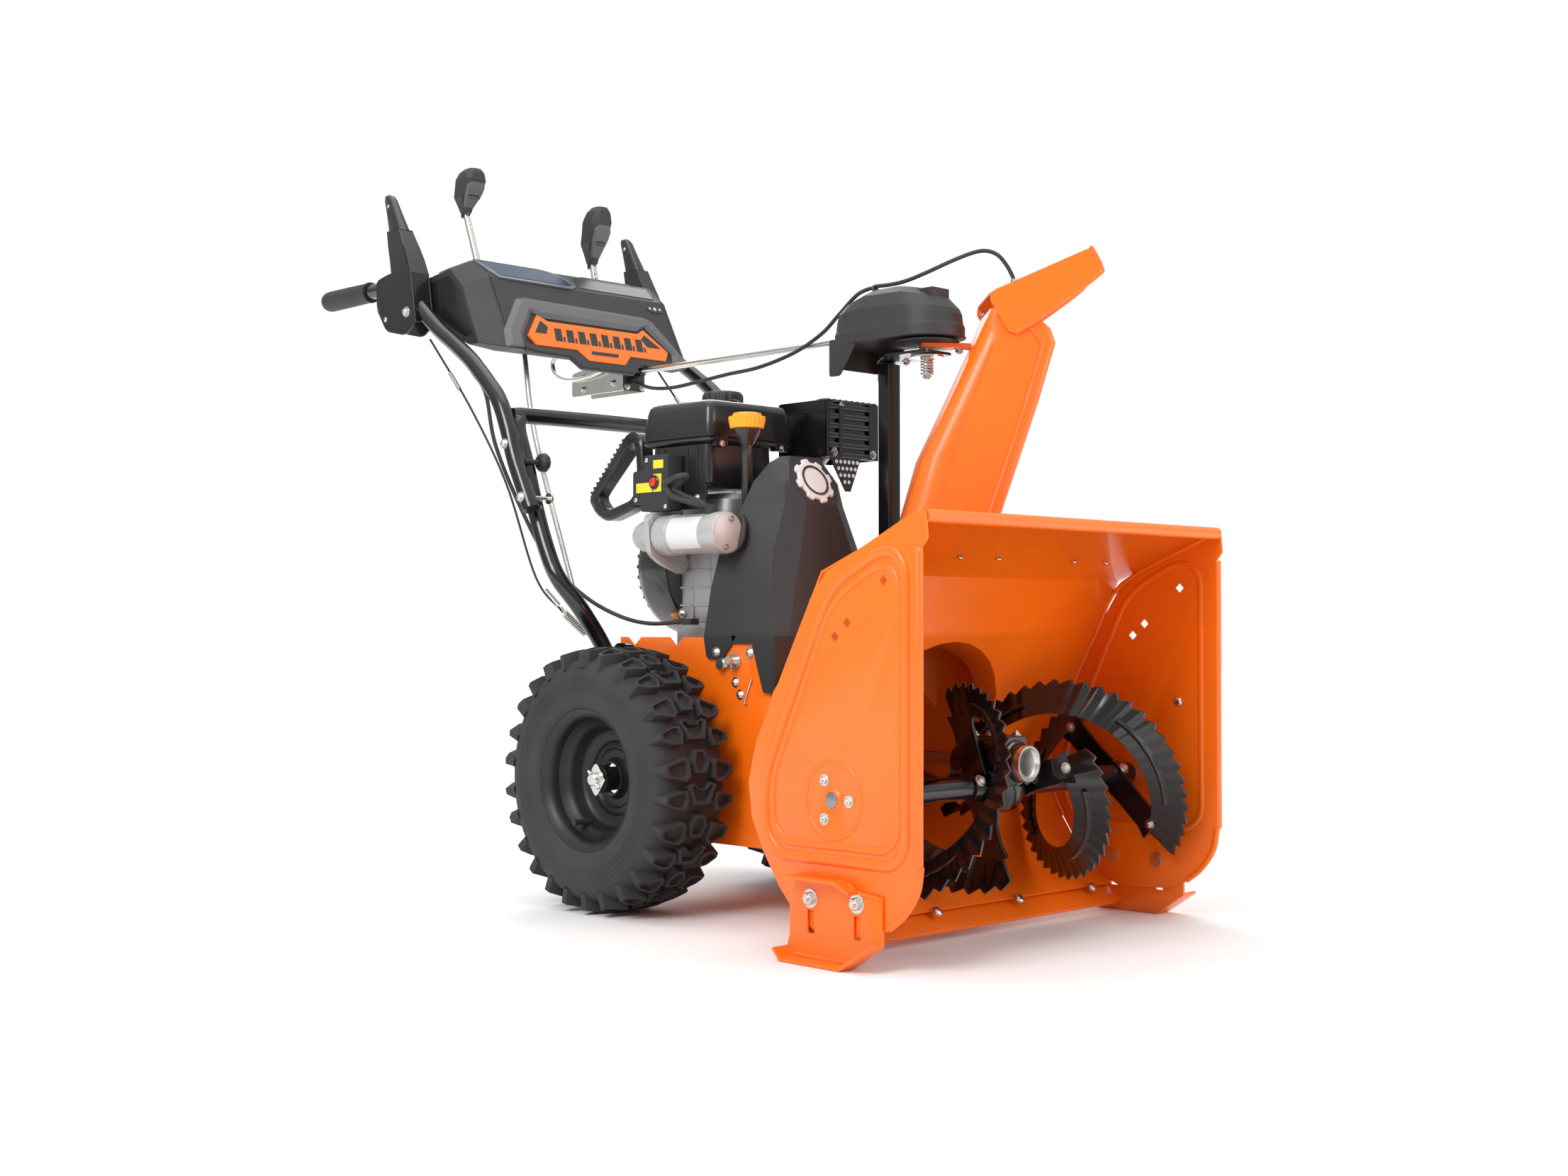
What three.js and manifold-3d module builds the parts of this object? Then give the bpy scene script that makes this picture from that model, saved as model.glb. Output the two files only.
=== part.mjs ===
// Two-stage walk-behind snow blower, 24 in (610 mm) class. Millimetres, +Z up, front of the machine towards -Y,
// operator's right-hand side towards -X. Inside this file Y is measured from the wheel axle; the exported group
// is shifted along Y so that the part's origin is at the middle of its box, on the ground.
import * as THREE from "three";
import { mergeVertices } from "three/addons/utils/BufferGeometryUtils.js";
import { ConvexGeometry } from "three/addons/geometries/ConvexGeometry.js";
import Module from "manifold-3d";

const wasm = await Module();
wasm.setup();

// ---------- driving dimensions ----------
const RING_SIDES = 24; // facets of the round pieces about the chute's axis
const GAP = 0.3; // clearance left between pieces that touch
const SHEET = 3; // sheet-metal thickness
const AXLE_Z = 188;
const ORIGIN_Y = 28; // axle-based Y of the part's origin
const TYRE = { radius: 188, bead: 92, inner: 152, outer: 278 };
const FRAME = { half: 125, top: 389, bottom: 97, front: -239, rear: 98, step: -176, stepTop: 306 };
const HOUSING = { half: 304 }; // inner faces of the side plates
const AUGER = { y: -521, z: 196, tip: 137, root: 90, start: 34, end: 288, tube: 16, shaft: 9.5 };
const DRUM = { z: 227, radius: 157, back: -239.5 };
const CHUTE = { x: 88, y: -326, neck: 66, turn: 48 };
const CRANK_Z = 495;
const POST = { x: 111, y: -232, side: 25, top: 788 };
const ROD = { x: 88, z: 829, radius: 5 };
const HANDLE = { upper: 248, lower: 221, radius: 12.7 };
const DASH = { right: -224, left: 190, skin: 4 };

const DEG = Math.PI / 180;
const SIDES = { right: -1, left: 1 };

// ---------- materials ----------
const paint = (color, roughness, metalness) =>
  new THREE.MeshStandardMaterial({ color, roughness, metalness });
const ORANGE = () => paint(0xf2640c, 0.3, 0.1);
const BLACK_PAINT = () => paint(0x101010, 0.25, 0.2);
const BLACK_PLASTIC = () => paint(0x2b2b2c, 0.6, 0);
const CAST = () => paint(0xa9a8a6, 0.5, 0.7);
const ZINC = () => paint(0xc4c4c0, 0.3, 1);
const RUBBER = () => paint(0x2e2f31, 0.85, 0);
const YELLOW = () => paint(0xf0a80c, 0.45, 0);
const RED = () => paint(0xc8281a, 0.35, 0);
const STEEL = () => paint(0x77777a, 0.4, 0.9);

// ---------- solids ----------
const v3 = (x, y, z) => new THREE.Vector3(x, y, z);
const at = (geometry, x, y, z) => geometry.translate(x, y, z);

// A closed three.js geometry as a manifold-3d solid.
function solid(geometry) {
  const bare = new THREE.BufferGeometry();
  const source = geometry.index ? geometry.toNonIndexed() : geometry;
  bare.setAttribute("position", source.getAttribute("position"));
  const merged = mergeVertices(bare, 1e-3);
  const made = new wasm.Manifold(
    new wasm.Mesh({
      numProp: 3,
      vertProperties: merged.getAttribute("position").array,
      triVerts: new Uint32Array(merged.index.array),
    }),
  );
  return made;
}

const join = (first, ...rest) => rest.reduce((all, next) => all.add(next), first);
const cut = (first, ...rest) => rest.reduce((all, next) => all.subtract(next), first);

// A manifold-3d solid as a three.js geometry.
function geometryOf(manifold) {
  const mesh = manifold.getMesh();
  const geometry = new THREE.BufferGeometry();
  geometry.setAttribute("position", new THREE.BufferAttribute(new Float32Array(mesh.vertProperties), 3));
  geometry.setIndex(new THREE.BufferAttribute(new Uint32Array(mesh.triVerts), 1));
  const flat = geometry.toNonIndexed();
  flat.computeVertexNormals();
  return flat;
}

// A box between two corners.
const box = (x0, x1, y0, y1, z0, z1) =>
  solid(at(new THREE.BoxGeometry(x1 - x0, y1 - y0, z1 - z0), (x0 + x1) / 2, (y0 + y1) / 2, (z0 + z1) / 2));

// Cylinders along X, Y and Z, from a to b on their axis.
function rodX(radius, a, b, y, z, sides = 16) {
  const g = new THREE.CylinderGeometry(radius, radius, b - a, sides).rotateZ(-Math.PI / 2);
  return solid(at(g, (a + b) / 2, y, z));
}
function rodY(radius, a, b, x, z, sides = 16, frontRadius = radius) {
  const g = new THREE.CylinderGeometry(radius, frontRadius, b - a, sides);
  return solid(at(g, x, (a + b) / 2, z));
}
function rodZ(radius, a, b, x, y, sides = 16, topRadius = radius) {
  const g = new THREE.CylinderGeometry(topRadius, radius, b - a, sides).rotateX(Math.PI / 2);
  return solid(at(g, x, y, (a + b) / 2));
}

const shapeOf = (points) => new THREE.Shape(points.map(([a, b]) => new THREE.Vector2(a, b)));
const sheetOf = (points, depth) => new THREE.ExtrudeGeometry(shapeOf(points), { depth, bevelEnabled: false });
// A plate of one outline with holes cut right through it.
const pierced = (plate, points, a, b, holes) =>
  cut(plate(points, a, b), ...holes.map((hole) => plate(hole, a - 1, b + 1)));

// An outline of [Y, Z] points extruded along X from a to b.
function plateX(points, a, b, holes = []) {
  if (holes.length) return pierced(plateX, points, a, b, holes);
  const basis = new THREE.Matrix4().makeBasis(v3(0, 1, 0), v3(0, 0, 1), v3(1, 0, 0));
  return solid(at(sheetOf(points, b - a).applyMatrix4(basis), a, 0, 0));
}
// An outline of [X, Z] points extruded along Y from a to b.
function plateY(points, a, b, holes = []) {
  if (holes.length) return pierced(plateY, points, a, b, holes);
  const basis = new THREE.Matrix4().makeBasis(v3(1, 0, 0), v3(0, 0, 1), v3(0, -1, 0));
  return solid(at(sheetOf(points, b - a).applyMatrix4(basis), 0, b, 0));
}
// An outline of [X, Y] points extruded along Z from a to b.
const plateZ = (points, a, b) => solid(at(sheetOf(points, b - a), 0, 0, a));

const circle = (a, b, radius, sides = 16) =>
  Array.from({ length: sides }, (_, i) => [
    a + radius * Math.cos((i / sides) * 2 * Math.PI),
    b + radius * Math.sin((i / sides) * 2 * Math.PI),
  ]);
const diamond = (a, b, r) => [[a + r, b], [a, b + r], [a - r, b], [a, b - r]];

// A round bar or tube along a smooth line through the points [x, y, z].
function bar(points, radius, steps = 24, sides = 10, tension = 0.5) {
  const path = new THREE.CatmullRomCurve3(points.map((p) => v3(...p)), false, "catmullrom", tension);
  const ring = shapeOf(circle(0, 0, radius, sides));
  return solid(new THREE.ExtrudeGeometry(ring, { steps, extrudePath: path, bevelEnabled: false }));
}

// A closed profile of [radius, along] points turned about X, Y or Z through a centre.
function turned(profile, axis, centre, sides = 32) {
  const area = profile.reduce((sum, [r, h], i) => {
    const [r2, h2] = profile[(i + 1) % profile.length];
    return sum + r * h2 - r2 * h;
  }, 0);
  const line = area > 0 ? [...profile] : [...profile].reverse();
  line.push(line[0]);
  const g = new THREE.LatheGeometry(line.map(([r, h]) => new THREE.Vector2(r, h)), sides);
  if (axis === "x") g.rotateZ(-Math.PI / 2);
  if (axis === "z") g.rotateX(Math.PI / 2);
  return solid(at(g, ...centre));
}

// Outlines with equal point counts, joined in order into one closed body.
function loft(outlines) {
  const n = outlines[0].length;
  const points = outlines.flat().map((p) => v3(...p));
  const faces = [];
  for (let k = 0; k + 1 < outlines.length; k++)
    for (let i = 0; i < n; i++) {
      const [a, b] = [k * n + i, k * n + ((i + 1) % n)];
      faces.push([a, b, b + n], [a, b + n, a + n]);
    }
  const endFaces = (k, flip) => {
    const first = points[k * n];
    const e1 = points[k * n + 1].clone().sub(first).normalize();
    const normal = new THREE.Vector3();
    for (let i = 0; i < n; i++)
      normal.add(points[k * n + i].clone().sub(first).cross(points[k * n + ((i + 1) % n)].clone().sub(first)));
    const e2 = normal.normalize().clone().cross(e1);
    const flat = Array.from({ length: n }, (_, i) => {
      const d = points[k * n + i].clone().sub(first);
      return new THREE.Vector2(d.dot(e1), d.dot(e2));
    });
    for (const [a, b, c] of THREE.ShapeUtils.triangulateShape(flat, []))
      faces.push(flip ? [k * n + c, k * n + b, k * n + a] : [k * n + a, k * n + b, k * n + c]);
  };
  endFaces(0, true);
  endFaces(outlines.length - 1, false);
  const g = new THREE.BufferGeometry().setFromPoints(points);
  g.setIndex(faces.flat());
  const made = solid(g);
  if (made.volume() > 0) return made;
  g.setIndex(faces.map(([a, b, c]) => [c, b, a]).flat());
  return solid(g);
}

const hull = (points) => solid(new ConvexGeometry(points.map((p) => v3(...p))));

// ---------- the assembly ----------
const group = new THREE.Group();
const machine = new THREE.Group();
machine.position.y = -ORIGIN_Y;
group.add(machine);

function add(name, manifold, material) {
  const mesh = new THREE.Mesh(geometryOf(manifold), material);
  mesh.name = name;
  machine.add(mesh);
}

// ---------- tractor: frame, drive and wheels ----------
function tractorFrame() {
  const { half, top, bottom, front, rear, step, stepTop } = FRAME;
  const rail = 16;
  const notch = (y) => [[y + 16, top], [y, top - 13], [y - 16, top]];
  const side = [
    [rear, bottom + 14], [rear, top], ...notch(66), ...notch(-28), [step, top], [step - 14, stepTop],
    [front, stepTop], [front, bottom], [rear - 14, bottom],
  ];
  const outer = plateX(side, -half, half);
  const inner = [half - SHEET, front + SHEET, rear - SHEET, top - rail - SHEET];
  const hollow = box(-inner[0], inner[0], inner[1], inner[2], bottom - 20, inner[3]);
  const above = box(-inner[0], inner[0], front - 1, rear + 1, top - rail, top + 1);
  const beltGap = box(-98, 98, BELT.front - 8, BELT.back + 12, DRUM.z + 30, top + 2);
  const shaftHole = rodY(24, front - 2, front + SHEET + 2, 0, DRUM.z);
  const axleHole = rodX(13, -half - 2, half + 2, 0, AXLE_Z);
  const hexHole = rodX(9, -half - 2, half + 2, HEX.y, HEX.z);
  return cut(outer, hollow, above, beltGap, shaftHole, axleHole, hexHole);
}
const HEX = { y: -66, z: 262, radius: 7 };
const BELT = { front: -196, back: -172, crankRadius: 38, impellerRadius: 88 };

add("tractor_frame", tractorFrame(), ORANGE());

function axle() {
  const gear = rodX(58, -92, -82, 0, AXLE_Z, 24);
  return join(rodX(9.5, -258, 258, 0, AXLE_Z, 16), gear);
}
add("drive_axle", axle(), STEEL());

// Friction drive: a disc turned by the belt, a rubber wheel that slides on a hexagonal shaft across its face.
const hexShaft = join(rodX(HEX.radius, -124, 124, HEX.y, HEX.z, 6), rodX(20, -92, -82, HEX.y, HEX.z, 16));
add("hex_shaft", hexShaft, STEEL());
const wheelHole = rodX(HEX.radius + 0.6, -60, 60, HEX.y, HEX.z, 6);
add("friction_wheel", cut(rodX(60, 38, 50, HEX.y, HEX.z, 24), wheelHole), RUBBER());
const discY = HEX.y - 60.6;
const drivePlate = join(rodY(80, discY - 8, discY, 0, HEX.z, 24), rodY(9, discY - 24, discY - 8, 0, HEX.z));
add("drive_disc", drivePlate, CAST());

// Tyre carcass and deep-dish rim, turned about the axle.
function tyre(side) {
  const { radius, bead, inner, outer } = TYRE;
  const mid = (inner + outer) / 2;
  const half = (outer - inner) / 2;
  const profile = [
    [bead, -half + 22], [bead + 30, -half + 2], [bead + 60, -half], [radius, -half + 16],
    [radius, half - 16], [bead + 60, half], [bead + 30, half - 2], [bead, half - 22],
    [bead + 12, half - 22], [bead + 12, -half + 22],
  ];
  return turned(profile, "x", [side * mid, 0, AXLE_Z], 28);
}
function rim(side) {
  const mid = ((TYRE.inner + TYRE.outer) / 2) * side;
  const profile = [
    [10.2, -20], [19, -20], [19, 14], [72, 14], [91, 42], [91, 38], [80, 24],
    [80, -30], [91, -44], [76, -34], [74, 8], [24, 8], [24, -26], [10.2, -26],
  ];
  const shell = turned(profile, "x", [0, 0, 0], 22);
  const placed = side < 0 ? shell.rotate([0, 0, 180]) : shell;
  return placed.translate([mid, 0, AXLE_Z]);
}
for (const [name, side] of Object.entries(SIDES)) {
  add(`tyre_${name}`, tyre(side), RUBBER());
  add(`rim_${name}`, rim(side), BLACK_PAINT());
}

// ---------- auger housing ----------
// Line of the bent sheet, [Y, Z] from the front lip over the top and down the back to the scraper.
const SHEET_LINE = [
  [-664, 534], [-500, 469], [-462, 399], [-388, 262], [-375, 214], [-379, 168], [-400, 126], [-429, 84],
  [-452, 60], [-486, 38],
];
// The sheet line moved by a distance along its normals.
function offsetLine(line, distance) {
  return line.map((p, i) => {
    const a = line[Math.max(i - 1, 0)];
    const b = line[Math.min(i + 1, line.length - 1)];
    const length = Math.hypot(b[0] - a[0], b[1] - a[1]);
    return [p[0] - ((b[1] - a[1]) / length) * distance, p[1] + ((b[0] - a[0]) / length) * distance];
  });
}
function augerHousing() {
  const w = HOUSING.half - GAP;
  const sheet = plateX([...SHEET_LINE, ...offsetLine(SHEET_LINE, SHEET).reverse()], -w, w);
  const lip = rodX(7, -w, w, -662, 531, 16);
  const behind = plateX([...offsetLine(SHEET_LINE.slice(1, 9), 0.5), [DRUM.back, 60], [DRUM.back, 469]], -w, w);
  const drumBody = rodY(DRUM.radius + SHEET, -500, DRUM.back, 0, DRUM.z, 32);
  const drumBore = rodY(DRUM.radius, -520, DRUM.back - SHEET, 0, DRUM.z, 32);
  const neck = rodZ(CHUTE.neck + SHEET, DRUM.z, 399, CHUTE.x, CHUTE.y, RING_SIDES);
  const neckBore = rodZ(CHUTE.neck, DRUM.z, 420, CHUTE.x, CHUTE.y, RING_SIDES);
  const shaftHole = rodY(14, DRUM.back - 10, DRUM.back + 5, 0, DRUM.z);
  const body = join(sheet, lip, drumBody.intersect(behind), neck);
  return cut(body, drumBore, neckBore, shaftHole);
}
add("auger_housing", augerHousing(), ORANGE());

const PLATE_OUTLINE = [
  [-669, 538], [-641, 532], [-509, 470], [-462, 399], [-388, 262], [-374, 210], [-380, 166], [-400, 127],
  [-429, 84], [-470, 46], [-500, 34], [-580, 38], [-612, 50], [-636, 69], [-656, 98], [-663, 127], [-663, 495],
  [-672, 506],
];
const DIAMONDS = [[-603, 458], [-544, 408.5], [-524, 392]];
function sidePlate(side) {
  const a = side < 0 ? -HOUSING.half - SHEET : HOUSING.half;
  const holes = [circle(AUGER.y, AUGER.z, 13), ...DIAMONDS.map(([y, z]) => diamond(y, z, 7))];
  const plate = plateX(PLATE_OUTLINE, a, a + SHEET, holes);
  const outside = side * (HOUSING.half + SHEET - 0.5);
  const [x0, x1] = [outside, side * 316].sort((p, q) => p - q);
  return join(plate, box(x0, x1, -663, -660, 127, 495));
}
// Reversible skid shoe with out-turned top and bottom flanges.
function skidShoe(side) {
  const face = HOUSING.half + SHEET + GAP;
  const outline = [
    [-452, 90], [-462, 103], [-544, 103], [-567, 92], [-605, 88], [-605, 30], [-560, 0], [-460, 0], [-447, 14], [-452, 30],
  ];
  const slots = [-488, -565].map((y) => [[y - 6, 34], [y + 6, 34], [y + 6, 62], [y - 6, 62]]);
  const web = plateX(outline, face, face + 4, slots);
  const sole = plateX([[-447, 14], [-460, 0], [-560, 0], [-605, 30], [-605, 34], [-559, 4], [-461, 4], [-450, 16]], face, 338);
  const top = plateX([[-462, 103], [-544, 103], [-567, 92], [-567, 88], [-544, 99], [-462, 99]], face, 330);
  const shoe = join(web, sole, top);
  return side < 0 ? shoe.mirror([1, 0, 0]) : shoe;
}
for (const [name, side] of Object.entries(SIDES)) {
  add(`side_plate_${name}`, sidePlate(side), ORANGE());
  add(`skid_${name}`, skidShoe(side), ORANGE());
}
const scraper = plateX([[-500, 12], [-502, 16], [-462, 46], [-455, 44]], -HOUSING.half + 1, HOUSING.half - 1);
add("scraper_bar", scraper.translate([0, -3, -2]), ORANGE());

// ---------- auger, gearcase and impeller ----------
function gearcase() {
  const { y, z } = AUGER;
  const shell = join(
    rodX(34, -27, 27, y, z, 20),
    rodY(27, -571, -470, 0, DRUM.z, 20),
    rodY(21, -578, -571, 0, DRUM.z, 20),
    rodY(20, -470, -452, 0, DRUM.z, 24),
    box(-20, 20, -560, -484, 226, 262),
  );
  const crossBore = rodX(AUGER.shaft + GAP, -40, 40, y, z);
  const shaftBore = rodY(9.5 + GAP, -545, -440, 0, DRUM.z, 16);
  return cut(shell, crossBore, shaftBore);
}
add("auger_gearcase", gearcase(), BLACK_PAINT());
add("auger_shaft", rodX(AUGER.shaft, -HOUSING.half - 6, HOUSING.half + 6, AUGER.y, AUGER.z, 20), STEEL());

// One saw-toothed ribbon flight. turn is its angle at the inner end: 0 faces the front, 90 is up.
const FLIGHT = { sweep: 258, steps: 30, lean: 22, thickness: 4, tooth: 7 };
function ribbon(side, turn) {
  const outlines = [];
  for (let i = 0; i <= FLIGHT.steps; i++) {
    const t = i / FLIGHT.steps;
    const angle = (turn - FLIGHT.sweep * t) * DEG;
    const x = AUGER.start + (AUGER.end - AUGER.start - FLIGHT.thickness) * t;
    const tip = AUGER.tip - FLIGHT.tooth * (1 - (i % 3) / 2);
    const point = (radius, lean, shift) => [
      side * (x - lean + shift),
      AUGER.y - radius * Math.cos(angle),
      AUGER.z + radius * Math.sin(angle),
    ];
    const lean = Math.min(FLIGHT.lean, x - 34);
    outlines.push([
      point(AUGER.root, lean, 0),
      point(tip, 0, 0),
      point(tip, 0, FLIGHT.thickness),
      point(AUGER.root, lean, FLIGHT.thickness),
    ]);
  }
  return loft(outlines);
}
// A flat arm from the tube out to a ribbon.
function augerArm(side, turn, t) {
  const angle = (turn - FLIGHT.sweep * t) * DEG;
  const x = AUGER.start + (AUGER.end - AUGER.start - FLIGHT.thickness) * t;
  const inner = x - Math.min(FLIGHT.lean, x - 34);
  const arm = box(inner, inner + 5, -17, 17, AUGER.tube - 4, AUGER.root + 8);
  const placed = arm.rotate([90 - angle / DEG, 0, 0].map((a, i) => (i === 0 ? a : 0)));
  const moved = placed.translate([0, AUGER.y, AUGER.z]);
  return side < 0 ? moved.mirror([1, 0, 0]) : moved;
}
function augerFlights(side, firstTurn) {
  const [a, b] = [AUGER.start, AUGER.end + 4].map((x) => side * x).sort((p, q) => p - q);
  const tube = rodX(AUGER.tube, a, b, AUGER.y, AUGER.z, 24);
  const parts = [];
  for (const turn of [firstTurn, firstTurn + 180]) {
    parts.push(ribbon(side, turn));
    for (const t of [0.03, 0.96]) parts.push(augerArm(side, turn, t));
  }
  const bore = rodX(AUGER.shaft + GAP, a - 2, b + 2, AUGER.y, AUGER.z, 20);
  return cut(join(tube, ...parts), bore);
}
add("auger_right", augerFlights(-1, 115), BLACK_PAINT());
add("auger_left", augerFlights(1, 24), BLACK_PAINT());

const IMPELLER = { radius: 150, front: -392, back: -245, blades: 4 };
function impeller() {
  const { radius, front, back, blades } = IMPELLER;
  const disc = rodY(92, back - 4, back, 0, DRUM.z, 40);
  const hub = rodY(20, -360, back, 0, DRUM.z);
  const parts = [disc, hub];
  for (let i = 0; i < blades; i++) {
    const blade = box(-2, 2, -330, back, 12, radius);
    const lip = box(-2, 16, -330, back, radius - 8, radius - 4);
    const turnedBlade = join(blade, lip).rotate([0, (i * 360) / blades + 20, 0]);
    parts.push(turnedBlade.translate([0, 0, DRUM.z]));
  }
  return cut(join(...parts), rodY(9.5 + GAP, front, back + 5, 0, DRUM.z));
}
add("impeller", impeller(), BLACK_PAINT());
add("impeller_shaft", rodY(9.5, -544, -170, 0, DRUM.z), STEEL());

function pulley(radius, bore, z) {
  const { front, back } = BELT;
  const mid = (front + back) / 2;
  const profile = [
    [bore, front - mid], [radius, front - mid], [radius, front - mid + 4], [radius - 9, -1.5],
    [radius - 9, 1.5], [radius, back - mid - 4], [radius, back - mid], [bore, back - mid],
  ];
  return turned(profile, "y", [0, mid, z], 20);
}
add("impeller_pulley", pulley(BELT.impellerRadius, 9.5 + GAP, DRUM.z), CAST());
add("crank_pulley", pulley(BELT.crankRadius, 11 + GAP, CRANK_Z), CAST());
// The belt: a flat loop round both pulleys, in their grooves.
function driveBelt() {
  const loop = (extra) => {
    const [ra, rb] = [BELT.impellerRadius - 9 + extra, BELT.crankRadius - 9 + extra];
    const lean = Math.asin((ra - rb) / (CRANK_Z - DRUM.z));
    const arc = (z, r, from, to) =>
      Array.from({ length: 13 }, (_, i) => {
        const a = from + ((to - from) * i) / 12;
        return [r * Math.cos(a), z + r * Math.sin(a)];
      });
    return [...arc(CRANK_Z, rb, lean, Math.PI - lean), ...arc(DRUM.z, ra, Math.PI - lean, 2 * Math.PI + lean)];
  };
  const mid = (BELT.front + BELT.back) / 2;
  return plateY(loop(8), mid - 1.4, mid + 1.4, [loop(1.3)]);
}
add("drive_belt", driveBelt(), RUBBER());

// ---------- chute ----------
const chuteSpot = (u, side, z) => {
  const turn = CHUTE.turn * DEG;
  return [
    CHUTE.x + u * Math.sin(turn) + side * Math.cos(turn),
    CHUTE.y - u * Math.cos(turn) + side * Math.sin(turn),
    z,
  ];
};
const ringHole = rodZ(CHUTE.neck + SHEET + GAP, 380, 410, CHUTE.x, CHUTE.y, RING_SIDES);
add("chute_ring", cut(rodZ(80, 389, 401, CHUTE.x, CHUTE.y, RING_SIDES), ringHole), BLACK_PLASTIC());

// Back and front reach of the chute and its half width at each height, in its own plane.
const CHUTE_LEVELS = [
  [408, -66, 48, 66], [470, -54, 69, 66], [552, -38, 94, 63], [640, -13, 124, 61], [802, 63, 175, 60],
  [836, 78, 151, 60], [850, 84, 120, 60],
];
// A U-shaped section: the outer line round the back, then the inner line back again.
function chuteSection([z, back, front, half]) {
  const corner = 30;
  const steps = 3;
  const line = (inset) => {
    const h = half - inset;
    const b = back + inset;
    const r = corner - inset;
    const points = [[front, -h]];
    for (let i = 0; i <= steps; i++) {
      const a = (i / steps) * 90 * DEG;
      points.push([b + r - r * Math.sin(a), -h + r - r * Math.cos(a)]);
    }
    for (let i = steps; i >= 0; i--) {
      const a = (i / steps) * 90 * DEG;
      points.push([b + r - r * Math.sin(a), h - r + r * Math.cos(a)]);
    }
    points.push([front, h]);
    return points;
  };
  return [...line(0), ...line(2.5).reverse()].map(([u, s]) => chuteSpot(u, s, z));
}
function chute() {
  const collar = join(
    rodZ(79, 401 + GAP, 405, CHUTE.x, CHUTE.y, RING_SIDES),
    rodZ(70, 404, 432, CHUTE.x, CHUTE.y, RING_SIDES),
  );
  const bore = rodZ(CHUTE.neck, 398, 440, CHUTE.x, CHUTE.y, RING_SIDES);
  return cut(join(collar, loft(CHUTE_LEVELS.map(chuteSection))), bore);
}
add("chute", chute(), ORANGE());

const HINGE = { u: 86, z: 866 };
function deflector() {
  const side = [[83, 872], [224, 935], [238, 906], [231, 892], [152, 834], [116, 812], [106, 816], [80, 860]];
  const top = [[84, 872.1], [223, 934.2], [224.3, 931.6], [85.2, 869.4]];
  const wall = (outline, s0, s1) => loft([s0, s1].map((s) => outline.map(([u, z]) => chuteSpot(u, s, z))));
  return join(wall(side, -66, -63), wall(side, 63, 66), wall(top, -65, 65));
}
add("deflector", deflector(), ORANGE());

// Turning arm: a disc under the gear cover, the pivot bolt through it and an arm welded to the chute's back.
function chuteArm() {
  const disc = rodZ(46, 806, 811, CHUTE.x, CHUTE.y, 36);
  const bolt = rodZ(5, 757, 816, CHUTE.x, CHUTE.y, 16);
  const spring = rodZ(10, 764, 788, CHUTE.x, CHUTE.y, 20);
  const arm = loft([800, 806.5].map((z) => [[-10, -18], [57, -18], [57, 18], [-10, 18]].map(([u, s]) => chuteSpot(u, s, z))));
  return join(disc, bolt, spring, arm);
}
add("chute_arm", chuteArm(), ORANGE());

function headPlate() {
  const plate = plateZ([[58, -348], [118, -348], [132, -214], [103, -214], [58, -270]], 791, 795);
  const cup = box(POST.x - 15, POST.x + 15, POST.y - 15, POST.y + 15, POST.top + GAP, 792);
  return cut(join(plate, cup), rodZ(5.5, 780, 800, CHUTE.x, CHUTE.y, 16));
}
add("chute_head_plate", headPlate(), BLACK_PAINT());
const postSide = POST.side / 2;
const postTube = box(POST.x - postSide, POST.x + postSide, POST.y - postSide, POST.y + postSide, 354, POST.top);
const postBore = box(POST.x - postSide + 2, POST.x + postSide - 2, POST.y - postSide + 2, POST.y + postSide - 2, 340, 800);
add("chute_post", cut(postTube, postBore), BLACK_PAINT());

// Moulded cover over the chute gear: round at the front, square at the back, open underneath.
function gearCover() {
  const shape = (inset, low, lift) => {
    const r = 54 - inset;
    const points = [];
    for (let i = 0; i <= 12; i++) {
      const a = Math.PI + (i / 12) * Math.PI;
      points.push([CHUTE.x + r * Math.cos(a), CHUTE.y + r * Math.sin(a)]);
    }
    const rear = -183 - inset;
    points.push([CHUTE.x + r, rear], [CHUTE.x - r, rear]);
    const shoulder = (k, z) => points.map(([x, y]) => [CHUTE.x + (x - CHUTE.x) * k, -262 + (y + 262) * k, z]);
    return hull([
      ...points.map(([x, y]) => [x, y, low]),
      ...points.map(([x, y]) => [x, y, 832 - lift]),
      ...shoulder(0.82, 862 - lift),
      [CHUTE.x - 26, -300, 893 - lift], [CHUTE.x + 26, -300, 893 - lift],
      [CHUTE.x - 26, -250, 893 - lift], [CHUTE.x + 26, -250, 893 - lift],
    ]);
  };
  const skirt = (x) => box(x, x + 3, -236, -183, 768, 820);
  const back = box(CHUTE.x - 54, CHUTE.x + 54, -186, -183, 780, 820);
  const shell = cut(shape(0, 813, 0), shape(3, 800, 3));
  const whole = join(shell, skirt(CHUTE.x - 54), skirt(CHUTE.x + 51), back);
  return cut(whole, rodY(8, -200, -170, ROD.x, ROD.z));
}
add("chute_gear_cover", gearCover(), BLACK_PLASTIC());
const pinion = rodY(14, -250, -240, ROD.x, ROD.z, 16);
add("chute_rod", join(rodY(ROD.radius, -246, 396, ROD.x, ROD.z, 12), pinion), ZINC());

// ---------- engine ----------
function engineBlock() {
  const base = box(-88, 88, -92, 16, 389.5 - 16, 411);
  const crankcase = hull([
    ...[[-84, 408], [84, 408], [-88, 440], [88, 440], [-84, 560], [70, 600], [-60, 600]]
      .flatMap(([x, z]) => [[x, -96, z], [x, 14, z]]),
  ]);
  const barrel = hull([
    ...[[40, 520], [150, 556], [150, 640], [40, 620]].flatMap(([x, z]) => [[x, -90, z], [x, 0, z]]),
  ]);
  const crank = rodY(11, -208, -90, 0, CRANK_Z, 20);
  return join(base, crankcase, barrel, crank);
}
add("engine_block", engineBlock(), CAST());

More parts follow.
